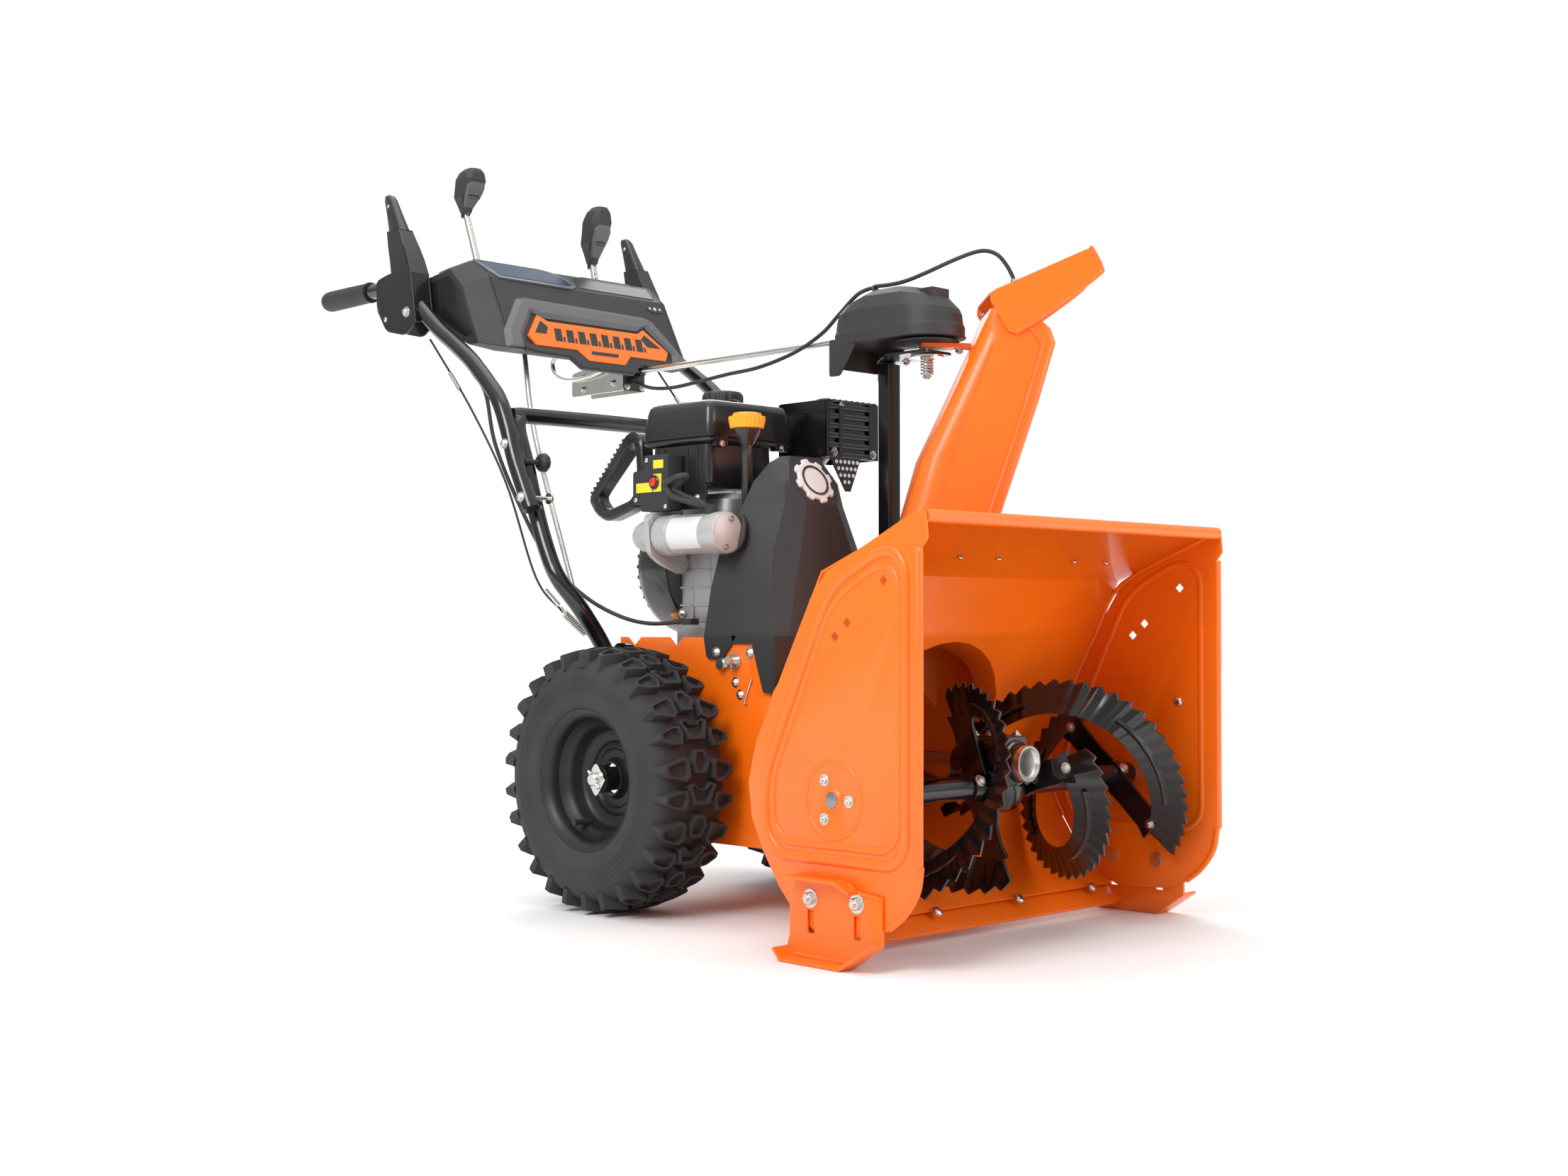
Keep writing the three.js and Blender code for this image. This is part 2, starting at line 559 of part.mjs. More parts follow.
const RECOIL = { x: -75, y: 100, z: 592, dy: 0.745, dz: 0.667 };
function fanHousing() {
  const profile = [
    [30, 44], [60, 44], [84, 38], [101, 26], [105, 10], [105, -44], [102, -44], [102, 8], [98, 24], [82, 34],
    [60, 40], [30, 40],
  ];
  const shell = turned(profile, "y", [0, 62, CRANK_Z], 22);
  const cap = rodY(34, 98, 104, 0, CRANK_Z, 22);
  const ropeHole = box(RECOIL.x - 9, RECOIL.x + 9, 48, 110, 548, 606);
  return cut(join(shell, cap), ropeHole);
}
add("fan_housing", fanHousing(), BLACK_PLASTIC());

function recoilGrip() {
  const outer = [[226, 604], [206, 578], [178, 566], [118, 582], [100, 600], [92, 640], [96, 688], [112, 703], [132, 700]];
  const inner = [[203, 606], [190, 590], [176, 584], [124, 597], [112, 610], [108, 640], [111, 676], [118, 682]];
  const loop = plateX(outer, RECOIL.x - 13, RECOIL.x + 13, [inner]);
  const rope = bar([[RECOIL.x, 102, 598], [RECOIL.x, 34, 537]], 2.5, 1, 8);
  return join(loop, rope);
}
add("recoil_grip", recoilGrip(), BLACK_PLASTIC());

const STARTER = { x: -132, z: 537, radius: 30 };
function starterMotor() {
  const { x, z, radius } = STARTER;
  const barrel = rodY(radius, -148, 10, x, z, 28);
  const nose = rodY(23, 10, 44, x, z, 24);
  const flange = plateY([[-160, 508], [-96, 500], [-92, 560], [-104, 572], [-150, 572]], -12, 8);
  const foot = box(-98, -90, -12, 8, 470, 520);
  return join(barrel, nose, flange, foot);
}
add("starter_motor", starterMotor(), CAST());

const SWITCH = { x: -152, y: -11, z: 614 };
function switchBox() {
  const outline = [[-40, 572], [20, 572], [20, 584], [38, 584], [38, 632], [14, 632], [14, 654], [-40, 654]];
  const shell = plateX(outline, SWITCH.x, -123);
  return cut(shell, rodX(7.5, SWITCH.x - 2, SWITCH.x + 10, SWITCH.y, SWITCH.z, 20));
}
add("switch_box", switchBox(), BLACK_PLASTIC());
add("start_button", rodX(7, SWITCH.x - 6, SWITCH.x + 4, SWITCH.y, SWITCH.z, 20), RED());

const carbCover = hull([
  ...[[-122, 604], [-122, 668], [10, 668], [10, 604]].flatMap(([x, z]) => [[x, -92, z], [x, 34, z]]),
  [-116, -88, 572], [-116, 30, 572], [-92, -88, 572], [-92, 30, 572],
]);
add("carb_cover", cut(carbCover, box(-90, 20, -100, 16, 560, 642), box(-100, 20, -100, 40, 560, 618)), BLACK_PLASTIC());

const CAP = { x: 0, y: 8, z: 733 };
function fuelTank() {
  const ring = (x0, x1, y0, y1, z) => [[x0, y0, z], [x1, y0, z], [x1, y1, z], [x0, y1, z]];
  const body = hull([
    ...ring(-126, 46, -100, 50, 671), ...ring(-126, 46, -100, 50, 678),
    ...ring(-118, 40, -94, 44, 682), ...ring(-110, 34, -84, 36, 728), ...ring(-104, 28, -78, 30, 732),
  ]);
  return join(body, rodZ(20, 728, 736, CAP.x, CAP.y, 28));
}
add("fuel_tank", fuelTank(), BLACK_PLASTIC());
const capBody = rodZ(32, CAP.z, 760, CAP.x, CAP.y, 16);
add("fuel_cap", cut(capBody, rodZ(20.5, CAP.z - 2, 737, CAP.x, CAP.y, 28)), BLACK_PLASTIC());

const DIPSTICK = { x: -90, y: -141 };
function oilTube() {
  const { x, y } = DIPSTICK;
  const tube = bar([[x, y, 672], [x, y, 640], [x + 1, y + 2, 600], [x + 10, y + 18, 566], [x + 16, y + 41, 554]], 8, 9, 8);
  const funnel = rodZ(9, 664, 686, x, y, 24, 21);
  return join(tube, funnel);
}
add("oil_tube", oilTube(), BLACK_PLASTIC());
const oilCap = join(rodZ(27, 686 + GAP, 704, DIPSTICK.x, DIPSTICK.y, 20), rodZ(21, 704, 709, DIPSTICK.x, DIPSTICK.y, 12));
add("oil_cap", oilCap, YELLOW());

// Louvred guard round the muffler, open at the back.
function mufflerGuard() {
  const outer = hull([[60, 655], [172, 655], [172, 735], [166, 742], [66, 742], [60, 735]]
    .flatMap(([x, z]) => [[x, -154, z], [x, -52, z]]));
  const inner = box(63, 169, -151, -40, 658, 739);
  const slot = (i) => box(84, 150, -160, -150, 672 + 17 * i, 680 + 17 * i);
  const bracket = plateY([[68, 656], [134, 656], [112, 606], [102, 606]], -153, -150);
  const pipeHole = rodZ(17, 640, 670, 118, -70, 16);
  return join(cut(outer, inner, pipeHole, slot(0), slot(1), slot(2), slot(3)), bracket);
}
add("muffler_guard", mufflerGuard(), BLACK_PAINT());

// Faceted cover over the belts, open at the back and underneath. Each row holds a height and the half outline
// there as [X, Y]: the side's rear edge, the soft corner and the front corner.
const COVER_ROWS = [
  [312, [128.5, -160], [128.5, -192], [100, -233]],
  [389, [128.5, -100], [128.5, -196], [94, -230]],
  [460, [122, -100], [104, -203], [70, -219]],
  [513, [112, -108], [88, -192], [52, -212]],
  [579, [95, -138], [60, -187], [31, -203]],
  [612, [85, -150], [50, -186]],
  [650, [30, -152], [30, -167]],
];
function beltCover() {
  const body = (inset, extra) =>
    hull(COVER_ROWS.flatMap(([z, ...corners]) =>
      corners.flatMap(([x, y]) => [-1, 1].map((s) => [
        s * (x - inset), Math.min(y + inset * 1.2, -98), z - (z > 400 ? inset : 0) - (z < 320 ? extra : 0),
      ]))));
  const rear = plateX([[-90, 420], [-114, 520], [-147, 590], [-152, 700], [-60, 700], [-60, 420]], -140, 140);
  const sideWindow = plateX([[-60, 280], [-60, 352], [-146, 352], [-152, 385], [-184, 385], [-206, 280]], -140, 140);
  const sides = cut(sideWindow, box(-98, 98, -300, -50, 250, 400));
  const backWindow = box(-125.3, 125.3, -160, -50, 280, 500);
  const postRoom = box(POST.x - 15, POST.x + 15, POST.y - 15, POST.y + 15, 300, 700);
  const starterRoom = rodY(STARTER.radius + 4, -170, -60, STARTER.x, STARTER.z, 20);
  return cut(body(0, 0), body(3, 12), rear, sides, backWindow, postRoom, starterRoom);
}
add("belt_cover", beltCover(), BLACK_PLASTIC());

// ---------- handles ----------
function lowerHandle() {
  const { lower, radius } = HANDLE;
  const leg = [
    [FRAME.half + 8 + radius, 95, 350], [lower - 56, 105, 392], [lower - 26, 112, 436], [lower - 3, 130, 476],
    [lower, 152, 514], [lower, 180, 576], [lower, 207, 652], [lower, 226, 700],
  ];
  const right = leg.map(([x, y, z]) => [-x, y, z]);
  const corner = [[lower - 8, 234, 719], [lower - 34, 238, 727]];
  const loop = [
    ...right, ...corner.map(([x, y, z]) => [-x, y, z]), ...corner.reverse(), ...[...leg].reverse(),
  ];
  const foot = (s) => {
    const [a, b] = [s * (FRAME.half + GAP), s * (FRAME.half + 14)].sort((p, q) => p - q);
    return plateX([[56, 326], [104, 326], [104, 366], [92, 380], [70, 380], [56, 366]], a, b);
  };
  return join(bar(loop, radius, 38, 8), foot(-1), foot(1));
}
add("lower_handle", lowerHandle(), BLACK_PAINT());

const GRIP = { front: 594, rear: 728, z: 955 };
function upperHandle(side) {
  const line = [[157, 578], [195, 650], [214, 700], [236, 744], [264, 774], [307, 812], [352, 843], [397, 872],
    [450, 912], [490, 942], [522, 953], [560, GRIP.z], [640, GRIP.z], [722, GRIP.z]];
  return bar(line.map(([y, z]) => [side * HANDLE.upper, y, z]), HANDLE.radius, 24, 8);
}
function grip(side) {
  const x = side * HANDLE.upper;
  const sleeve = join(rodY(17, GRIP.front, GRIP.rear - 4, x, GRIP.z, 20), rodY(13, GRIP.rear - 4, GRIP.rear, x, GRIP.z, 20));
  return cut(sleeve, rodY(HANDLE.radius + GAP, GRIP.front - 2, 722 + GAP, x, GRIP.z, 20));
}
// Clutch lever: two cheeks that straddle the tube, a web along their front edge and a narrow blade above.
const LEVER_PIVOT = { y: 462, z: 905 };
function clutchLever(side) {
  const cheek = [
    [436, 886], [452, 968], [497, 1050], [531, 1048], [507, 984], [552, 966], [549, 919], [521, 880], [466, 868],
  ];
  const web = [[457.5, 976], [498, 1049], [501, 1048], [461, 975]];
  const shoulder = [[496, 1044], [502, 1054], [533, 1052], [527, 1043]];
  const blade = [[499, 1050], [524, 1099], [530, 1105], [545, 1107], [549, 1101], [530, 1047]];
  const x = HANDLE.upper;
  const hole = circle(LEVER_PIVOT.y, LEVER_PIVOT.z, 4.5, 12);
  const cheeks = [-18, 15].map((inner) => plateX(cheek, x + inner, x + inner + 3, [hole]));
  const lever = join(...cheeks, plateX(web, x - 18, x + 18), plateX(shoulder, x - 18, x + 18), plateX(blade, x - 9, x + 9));
  return side < 0 ? lever.mirror([1, 0, 0]) : lever;
}
for (const [name, side] of Object.entries(SIDES)) {
  add(`upper_handle_${name}`, upperHandle(side), BLACK_PAINT());
  add(`grip_${name}`, grip(side), RUBBER());
  add(`clutch_lever_${name}`, clutchLever(side), BLACK_PAINT());
}

// ---------- dash, levers and controls ----------
const STEM = { speedX: -110, speedPivot: [450, 925], jogPivot: [385, ROD.z] };
function dashPanel() {
  const { right, left, skin } = DASH;
  const outline = [[497, 978], [444, 984], [391, 989], [352, 958], [292, 839], [330, 837], [372, 850], [497, 930]];
  const inner = [[493, 974], [444, 980], [393, 984], [356, 955], [299, 835], [330, 800], [420, 800], [493, 915]];
  const whole = cut(plateX(outline, right, left), plateX(inner, right + skin, left - skin));
  const speedSlot = box(STEM.speedX - 9, STEM.speedX + 9, 462, 493, 970, 1000);
  const jogSlot = box(ROD.x - 50, ROD.x + 50, 400, 456, 970, 1000);
  return join(cut(whole, speedSlot, jogSlot), rodBracket());
}
// Sheet bracket under the dash that carries the chute rod and the end of the deflector cable.
function rodBracket() {
  const cheek = [[322, 797], [461, 797], [461, 836], [404, 846], [368, 846], [340, 925], [300, 848], [322, 838]];
  const plate = (x) => plateX(cheek, x, x + 3);
  const front = box(ROD.x - 22, ROD.x + 22, 322, 325, 797, 842);
  return cut(join(plate(ROD.x - 22), plate(ROD.x + 19), front), rodY(7, 300, 340, ROD.x, ROD.z, 12));
}
add("dash_panel", dashPanel(), BLACK_PLASTIC());

// A lever stem with its knob: foot, shoulder and knob centre as [Y, Z].
function knobOn(x, [y, z], tall) {
  const ring = (dy, rise, w, d) => {
    const [cy, cz] = [y + dy, z + rise * tall];
    return [[x - w, cy - d, cz], [x + w, cy - d, cz], [x + w, cy + d, cz], [x - w, cy + d, cz]];
  };
  return hull([...ring(0, 0, 9, 9), ...ring(-2, 0.28, 20, 21), ...ring(-14, 0.72, 22, 23), ...ring(-22, 1, 13, 15)]);
}
function speedLever() {
  const x = STEM.speedX;
  const [py, pz] = STEM.speedPivot;
  const stem = bar([[x, py, pz], [x, 528, 1104]], 5, 1, 8);
  const lower = bar([[x, py, pz], [x, 358, 858]], 5, 1, 8);
  return join(stem, lower, rodX(9, x - 7, x + 7, py, pz, 16), knobOn(x, [524, 1097], 72));
}
add("speed_lever", speedLever(), BLACK_PLASTIC());
function chuteLever() {
  const x = ROD.x;
  const top = x + 25;
  const fork = join(box(x - 12, x - 7, 376, 394, 824, 862), box(x + 7, x + 12, 376, 394, 824, 862), box(x - 12, x + 12, 378, 398, 856, 864));
  const stem = bar([[x, 388, 860], [x + 8, 412, 905], [top, 466, 1044]], 5, 10, 8);
  return join(fork, stem, knobOn(top, [466, 1033], 97));
}
add("chute_lever", chuteLever(), BLACK_PLASTIC());

// Shift linkage rod from the speed lever down to the tractor.
add("shift_rod", bar([[-118, 350, 846], [-132, 300, 700], [-156, 160, 430]], 4, 12, 8), ZINC());

// Clutch cables from the levers down to their springs at the frame.
for (const [name, side] of Object.entries(SIDES)) {
  const cable = bar([[side * 236, 440, 862], [side * 234, 330, 742], [side * 232, 240, 620], [side * 206, 200, 478],
    [side * 178, 170, 426]], 2, 12, 6);
  const spring = bar([[side * 178, 171, 427], [side * 152, 144, 392]], 7, 1, 12);
  add(`clutch_cable_${name}`, join(cable, spring), ZINC());
}

// Deflector cable: from the rod bracket over the engine to the clip on the gear cover, then over to the deflector.
const CABLE_RADIUS = 3;
const rearRun = [[80, 321, 815], [80, 272, 798], [80, 217, 793], [80, 149, 797], [80, 84, 802], [79, 10, 806],
  [76, -70, 820], [74, -130, 842], [72, -168, 866], [72, -206, 891], [76, -238, 899]];
add("deflector_cable", bar(rearRun, CABLE_RADIUS, 22, 8), BLACK_PLASTIC());
const frontArc = [[76.5, -240, 899.5], [84, -262, 900], [97, -281, 905], [113, -306, 916], [133, -336, 931],
  [149, -360, 941], [160, -376, 943], [169, -390, 936], [176, -400, 921], [181, -408, 903]];
add("deflector_cable_arc", bar(frontArc, CABLE_RADIUS, 18, 8), BLACK_PLASTIC());

export default group;
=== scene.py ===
"""Looks of a two-stage walk-behind snow blower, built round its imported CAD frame.

Shapes are written in millimetres from the wheel axle's centre plane (x across, y back, z up from the ground)
and placed in the frame, in metres, by place(). The front of the machine faces -Y, its right-hand side -X.
"""
import math

import bmesh
import bpy
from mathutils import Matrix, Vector


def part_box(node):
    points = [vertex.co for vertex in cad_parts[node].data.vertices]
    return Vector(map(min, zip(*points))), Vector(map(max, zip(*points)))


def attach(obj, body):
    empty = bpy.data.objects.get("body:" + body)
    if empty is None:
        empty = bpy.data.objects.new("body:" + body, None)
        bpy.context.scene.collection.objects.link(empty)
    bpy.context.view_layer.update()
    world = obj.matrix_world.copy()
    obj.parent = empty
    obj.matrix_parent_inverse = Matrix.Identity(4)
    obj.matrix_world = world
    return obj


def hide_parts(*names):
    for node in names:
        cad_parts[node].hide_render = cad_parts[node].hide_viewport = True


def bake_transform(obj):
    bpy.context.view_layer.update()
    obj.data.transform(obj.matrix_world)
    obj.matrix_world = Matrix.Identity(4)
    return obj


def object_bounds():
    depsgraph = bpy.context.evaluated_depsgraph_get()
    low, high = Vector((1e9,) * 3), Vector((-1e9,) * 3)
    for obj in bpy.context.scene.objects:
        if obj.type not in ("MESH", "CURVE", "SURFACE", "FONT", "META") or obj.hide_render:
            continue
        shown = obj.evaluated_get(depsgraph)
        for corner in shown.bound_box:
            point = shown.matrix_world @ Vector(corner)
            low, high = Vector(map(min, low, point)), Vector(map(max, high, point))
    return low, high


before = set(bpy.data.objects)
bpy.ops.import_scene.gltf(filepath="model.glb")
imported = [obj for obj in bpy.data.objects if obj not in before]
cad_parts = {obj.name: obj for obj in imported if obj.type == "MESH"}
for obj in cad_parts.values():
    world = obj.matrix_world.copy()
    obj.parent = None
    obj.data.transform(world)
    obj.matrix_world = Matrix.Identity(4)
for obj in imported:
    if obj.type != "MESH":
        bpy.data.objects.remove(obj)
cad_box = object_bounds()

MM = 0.001
SIDES = {"right": -1, "left": 1}


def mid(node, axis):
    """The middle of a CAD node along one axis, in mm."""
    low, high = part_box(node)
    return (low[axis] + high[axis]) / 2 / MM


AXLE_Y = mid("tyre_right", 1)  # Y of the axle in the frame, in mm
AXLE_Z = mid("drive_axle", 2)
AUGER_Y = mid("auger_shaft", 1) - AXLE_Y
AUGER_Z = mid("auger_shaft", 2)
DRUM_Z = mid("impeller_shaft", 2)
CHUTE_X = mid("chute_ring", 0)
CHUTE_Y = mid("chute_ring", 1) - AXLE_Y
CHUTE_TURN = math.radians(48)  # the chute is stored turned to the machine's left
ROD_X = CHUTE_X
ROD_Z = mid("chute_rod", 2)
CRANK_Z = mid("crank_pulley", 2)
GRIP_X = mid("grip_left", 0)
GRIP_Z = mid("grip_left", 2)
PLATE_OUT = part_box("side_plate_left")[0].x / MM + 3  # outer face of the side plates


def place(point):
    """A point in mm from the axle plane, in the frame's metres."""
    x, y, z = point
    return Vector((x * MM, (y + AXLE_Y) * MM, z * MM))


# ---------- materials: every one mixes its colour, roughness and bump from procedural noise ----------
def new_material(name):
    material = bpy.data.materials.new(name)
    material.use_nodes = True
    nodes = material.node_tree.nodes
    return material, nodes, material.node_tree.links, nodes["Principled BSDF"]


def surface(
    name, colour, rough, metallic=0.0, grain=600.0, bump=0.1, spread=0.12, coat=0.0, dust=0.0, alpha=1.0,
):
    """A finish whose colour, roughness and height vary; grain is the scale of its bumps per metre."""
    material, nodes, links, shader = new_material(name)
    shader.inputs["Metallic"].default_value = metallic
    shader.inputs["Coat Weight"].default_value = coat
    shader.inputs["Coat Roughness"].default_value = 0.06
    shader.inputs["Alpha"].default_value = alpha
    where = nodes.new("ShaderNodeTexCoord")
    broad = nodes.new("ShaderNodeTexNoise")
    broad.inputs["Scale"].default_value = 9.0
    broad.inputs["Detail"].default_value = 6.0
    fine = nodes.new("ShaderNodeTexNoise")
    fine.inputs["Scale"].default_value = grain
    fine.inputs["Detail"].default_value = 3.0
    for texture in (broad, fine):
        links.new(where.outputs["Object"], texture.inputs["Vector"])
    tint = nodes.new("ShaderNodeValToRGB")
    tint.color_ramp.elements[0].position = 0.3
    tint.color_ramp.elements[1].position = 0.72
    tint.color_ramp.elements[0].color = [c * (1 - spread) for c in colour] + [1]
    tint.color_ramp.elements[1].color = [min(1, c * (1 + spread) + dust) for c in colour] + [1]
    links.new(broad.outputs["Fac"], tint.inputs["Fac"])
    links.new(tint.outputs["Color"], shader.inputs["Base Color"])
    gloss = nodes.new("ShaderNodeMapRange")
    gloss.inputs["To Min"].default_value = rough * 0.85
    gloss.inputs["To Max"].default_value = min(1.0, rough * 1.2)
    links.new(fine.outputs["Fac"], gloss.inputs["Value"])
    links.new(gloss.outputs["Result"], shader.inputs["Roughness"])
    height = nodes.new("ShaderNodeBump")
    height.inputs["Strength"].default_value = bump
    height.inputs["Distance"].default_value = 0.0006
    links.new(fine.outputs["Fac"], height.inputs["Height"])
    links.new(height.outputs["Normal"], shader.inputs["Normal"])
    return material


ORANGE = surface("orange_powder_coat", (0.90, 0.152, 0.002), 0.36, 0.0, 900, 0.05, 0.04, coat=0.16)
BLACK = surface("gloss_black_paint", (0.005, 0.005, 0.006), 0.2, 0.0, 700, 0.05, 0.2, coat=0.35)
SATIN_BLACK = surface("satin_black_paint", (0.009, 0.009, 0.010), 0.42, 0.0, 1100, 0.12, 0.2)
PLASTIC = surface("charcoal_plastic", (0.022, 0.022, 0.024), 0.5, 0.0, 2600, 0.35, 0.15)
GLOSS_PLASTIC = surface("satin_black_plastic", (0.012, 0.012, 0.013), 0.3, 0.0, 1200, 0.08, 0.2, coat=0.25)
LIGHT_PLASTIC = surface("grey_plastic", (0.10, 0.10, 0.105), 0.45, 0.0, 2400, 0.25, 0.1)
CAST = surface("cast_aluminium", (0.40, 0.40, 0.40), 0.46, 0.7, 1500, 0.5, 0.14)
STARTER = surface("starter_grey_paint", (0.46, 0.46, 0.45), 0.4, 0.25, 900, 0.12, 0.06, coat=0.1)
ZINC = surface("zinc_plate", (0.66, 0.66, 0.62), 0.26, 1.0, 1800, 0.12, 0.1)
STEEL = surface("oiled_steel", (0.34, 0.34, 0.35), 0.36, 1.0, 1200, 0.15, 0.12)
BRASS = surface("brass_fitting", (0.55, 0.34, 0.10), 0.3, 1.0, 1500, 0.1, 0.12)
TYRE = surface("tyre_rubber", (0.026, 0.027, 0.029), 0.72, 0.0, 1400, 0.5, 0.2, dust=0.006)
RUBBER = surface("grip_rubber", (0.024, 0.024, 0.025), 0.6, 0.0, 2200, 0.3, 0.15)
YELLOW = surface("yellow_plastic", (0.85, 0.36, 0.006), 0.42, 0.0, 1200, 0.1, 0.06)
RED = surface("red_button", (0.62, 0.03, 0.012), 0.3, 0.0, 900, 0.05, 0.08, coat=0.3)
LABEL_YELLOW = surface("yellow_label", (0.80, 0.62, 0.03), 0.45, 0.0, 600, 0.04, 0.05)
LABEL_WHITE = surface("white_label", (0.72, 0.72, 0.72), 0.45, 0.0, 600, 0.04, 0.03)
LENS = surface("smoked_lens", (0.004, 0.03, 0.085), 0.16, 0.0, 300, 0.02, 0.3, coat=0.1, alpha=0.8)
LED = surface("lamp_reflector", (0.25, 0.45, 0.62), 0.2, 0.6, 900, 0.1, 0.2)


# ---------- shape building ----------
def lerp(a, b, t):
    return a + (b - a) * t


def smooth_line(points, steps=8):
    """A Catmull-Rom line through the points, with steps pieces between each two."""
    p = [Vector(q) for q in points]
    p = [2 * p[0] - p[1]] + p + [2 * p[-1] - p[-2]]
    line = []
    for i in range(1, len(p) - 2):
        a, b, c, d = p[i - 1 : i + 3]
        for k in range(steps):
            t = k / steps
            line.append(
                0.5 * (
                    2 * b + (c - a) * t + (
                        2 * a - 5 * b + 4 * c - d
                    ) * t**2 + (3 * b - a - 3 * c + d) * t**3
                )
            )
    return line + [p[-2]]


def rounded(points, radius, steps=4, closed=True):
    """A 2-D or 3-D outline with each corner replaced by a short curve."""
    out = []
    count = len(points)
    for i, corner in enumerate(points):
        here = Vector(corner)
        if not closed and i in (0, count - 1):
            out.append(here)
            continue
        before, after = Vector(points[i - 1]), Vector(points[(i + 1) % count])
        wanted = radius[i] if isinstance(radius, (list, tuple)) else radius
        r = min(wanted, (before - here).length * 0.45, (after - here).length * 0.45)
        a = here + (before - here).normalized() * r
        b = here + (after - here).normalized() * r
        for k in range(steps + 1):
            t = k / steps
            out.append((1 - t) ** 2 * a + 2 * t * (1 - t) * here + t**2 * b)
    return out


def soft(outline, radius, steps=4):
    return [tuple(p) for p in rounded(outline, radius, steps)]


def circle(a, b, radius, sides=24, start=0.0, end=360.0):
    span = math.radians(end - start)
    last = sides if end - start >= 360 else sides - 1
    return [
        (
            a + radius * math.cos(math.radians(start) + span * i / last),
            b + radius * math.sin(math.radians(start) + span * i / last),
        )
        for i in range(sides)
    ]


def frame_of(direction):
    """Two unit vectors square to a direction."""
    d = Vector(direction).normalized()
    up = Vector((0, 0, 1)) if abs(d.z) < 0.9 else Vector((1, 0, 0))
    side = d.cross(up).normalized()
    return side, side.cross(d).normalized()


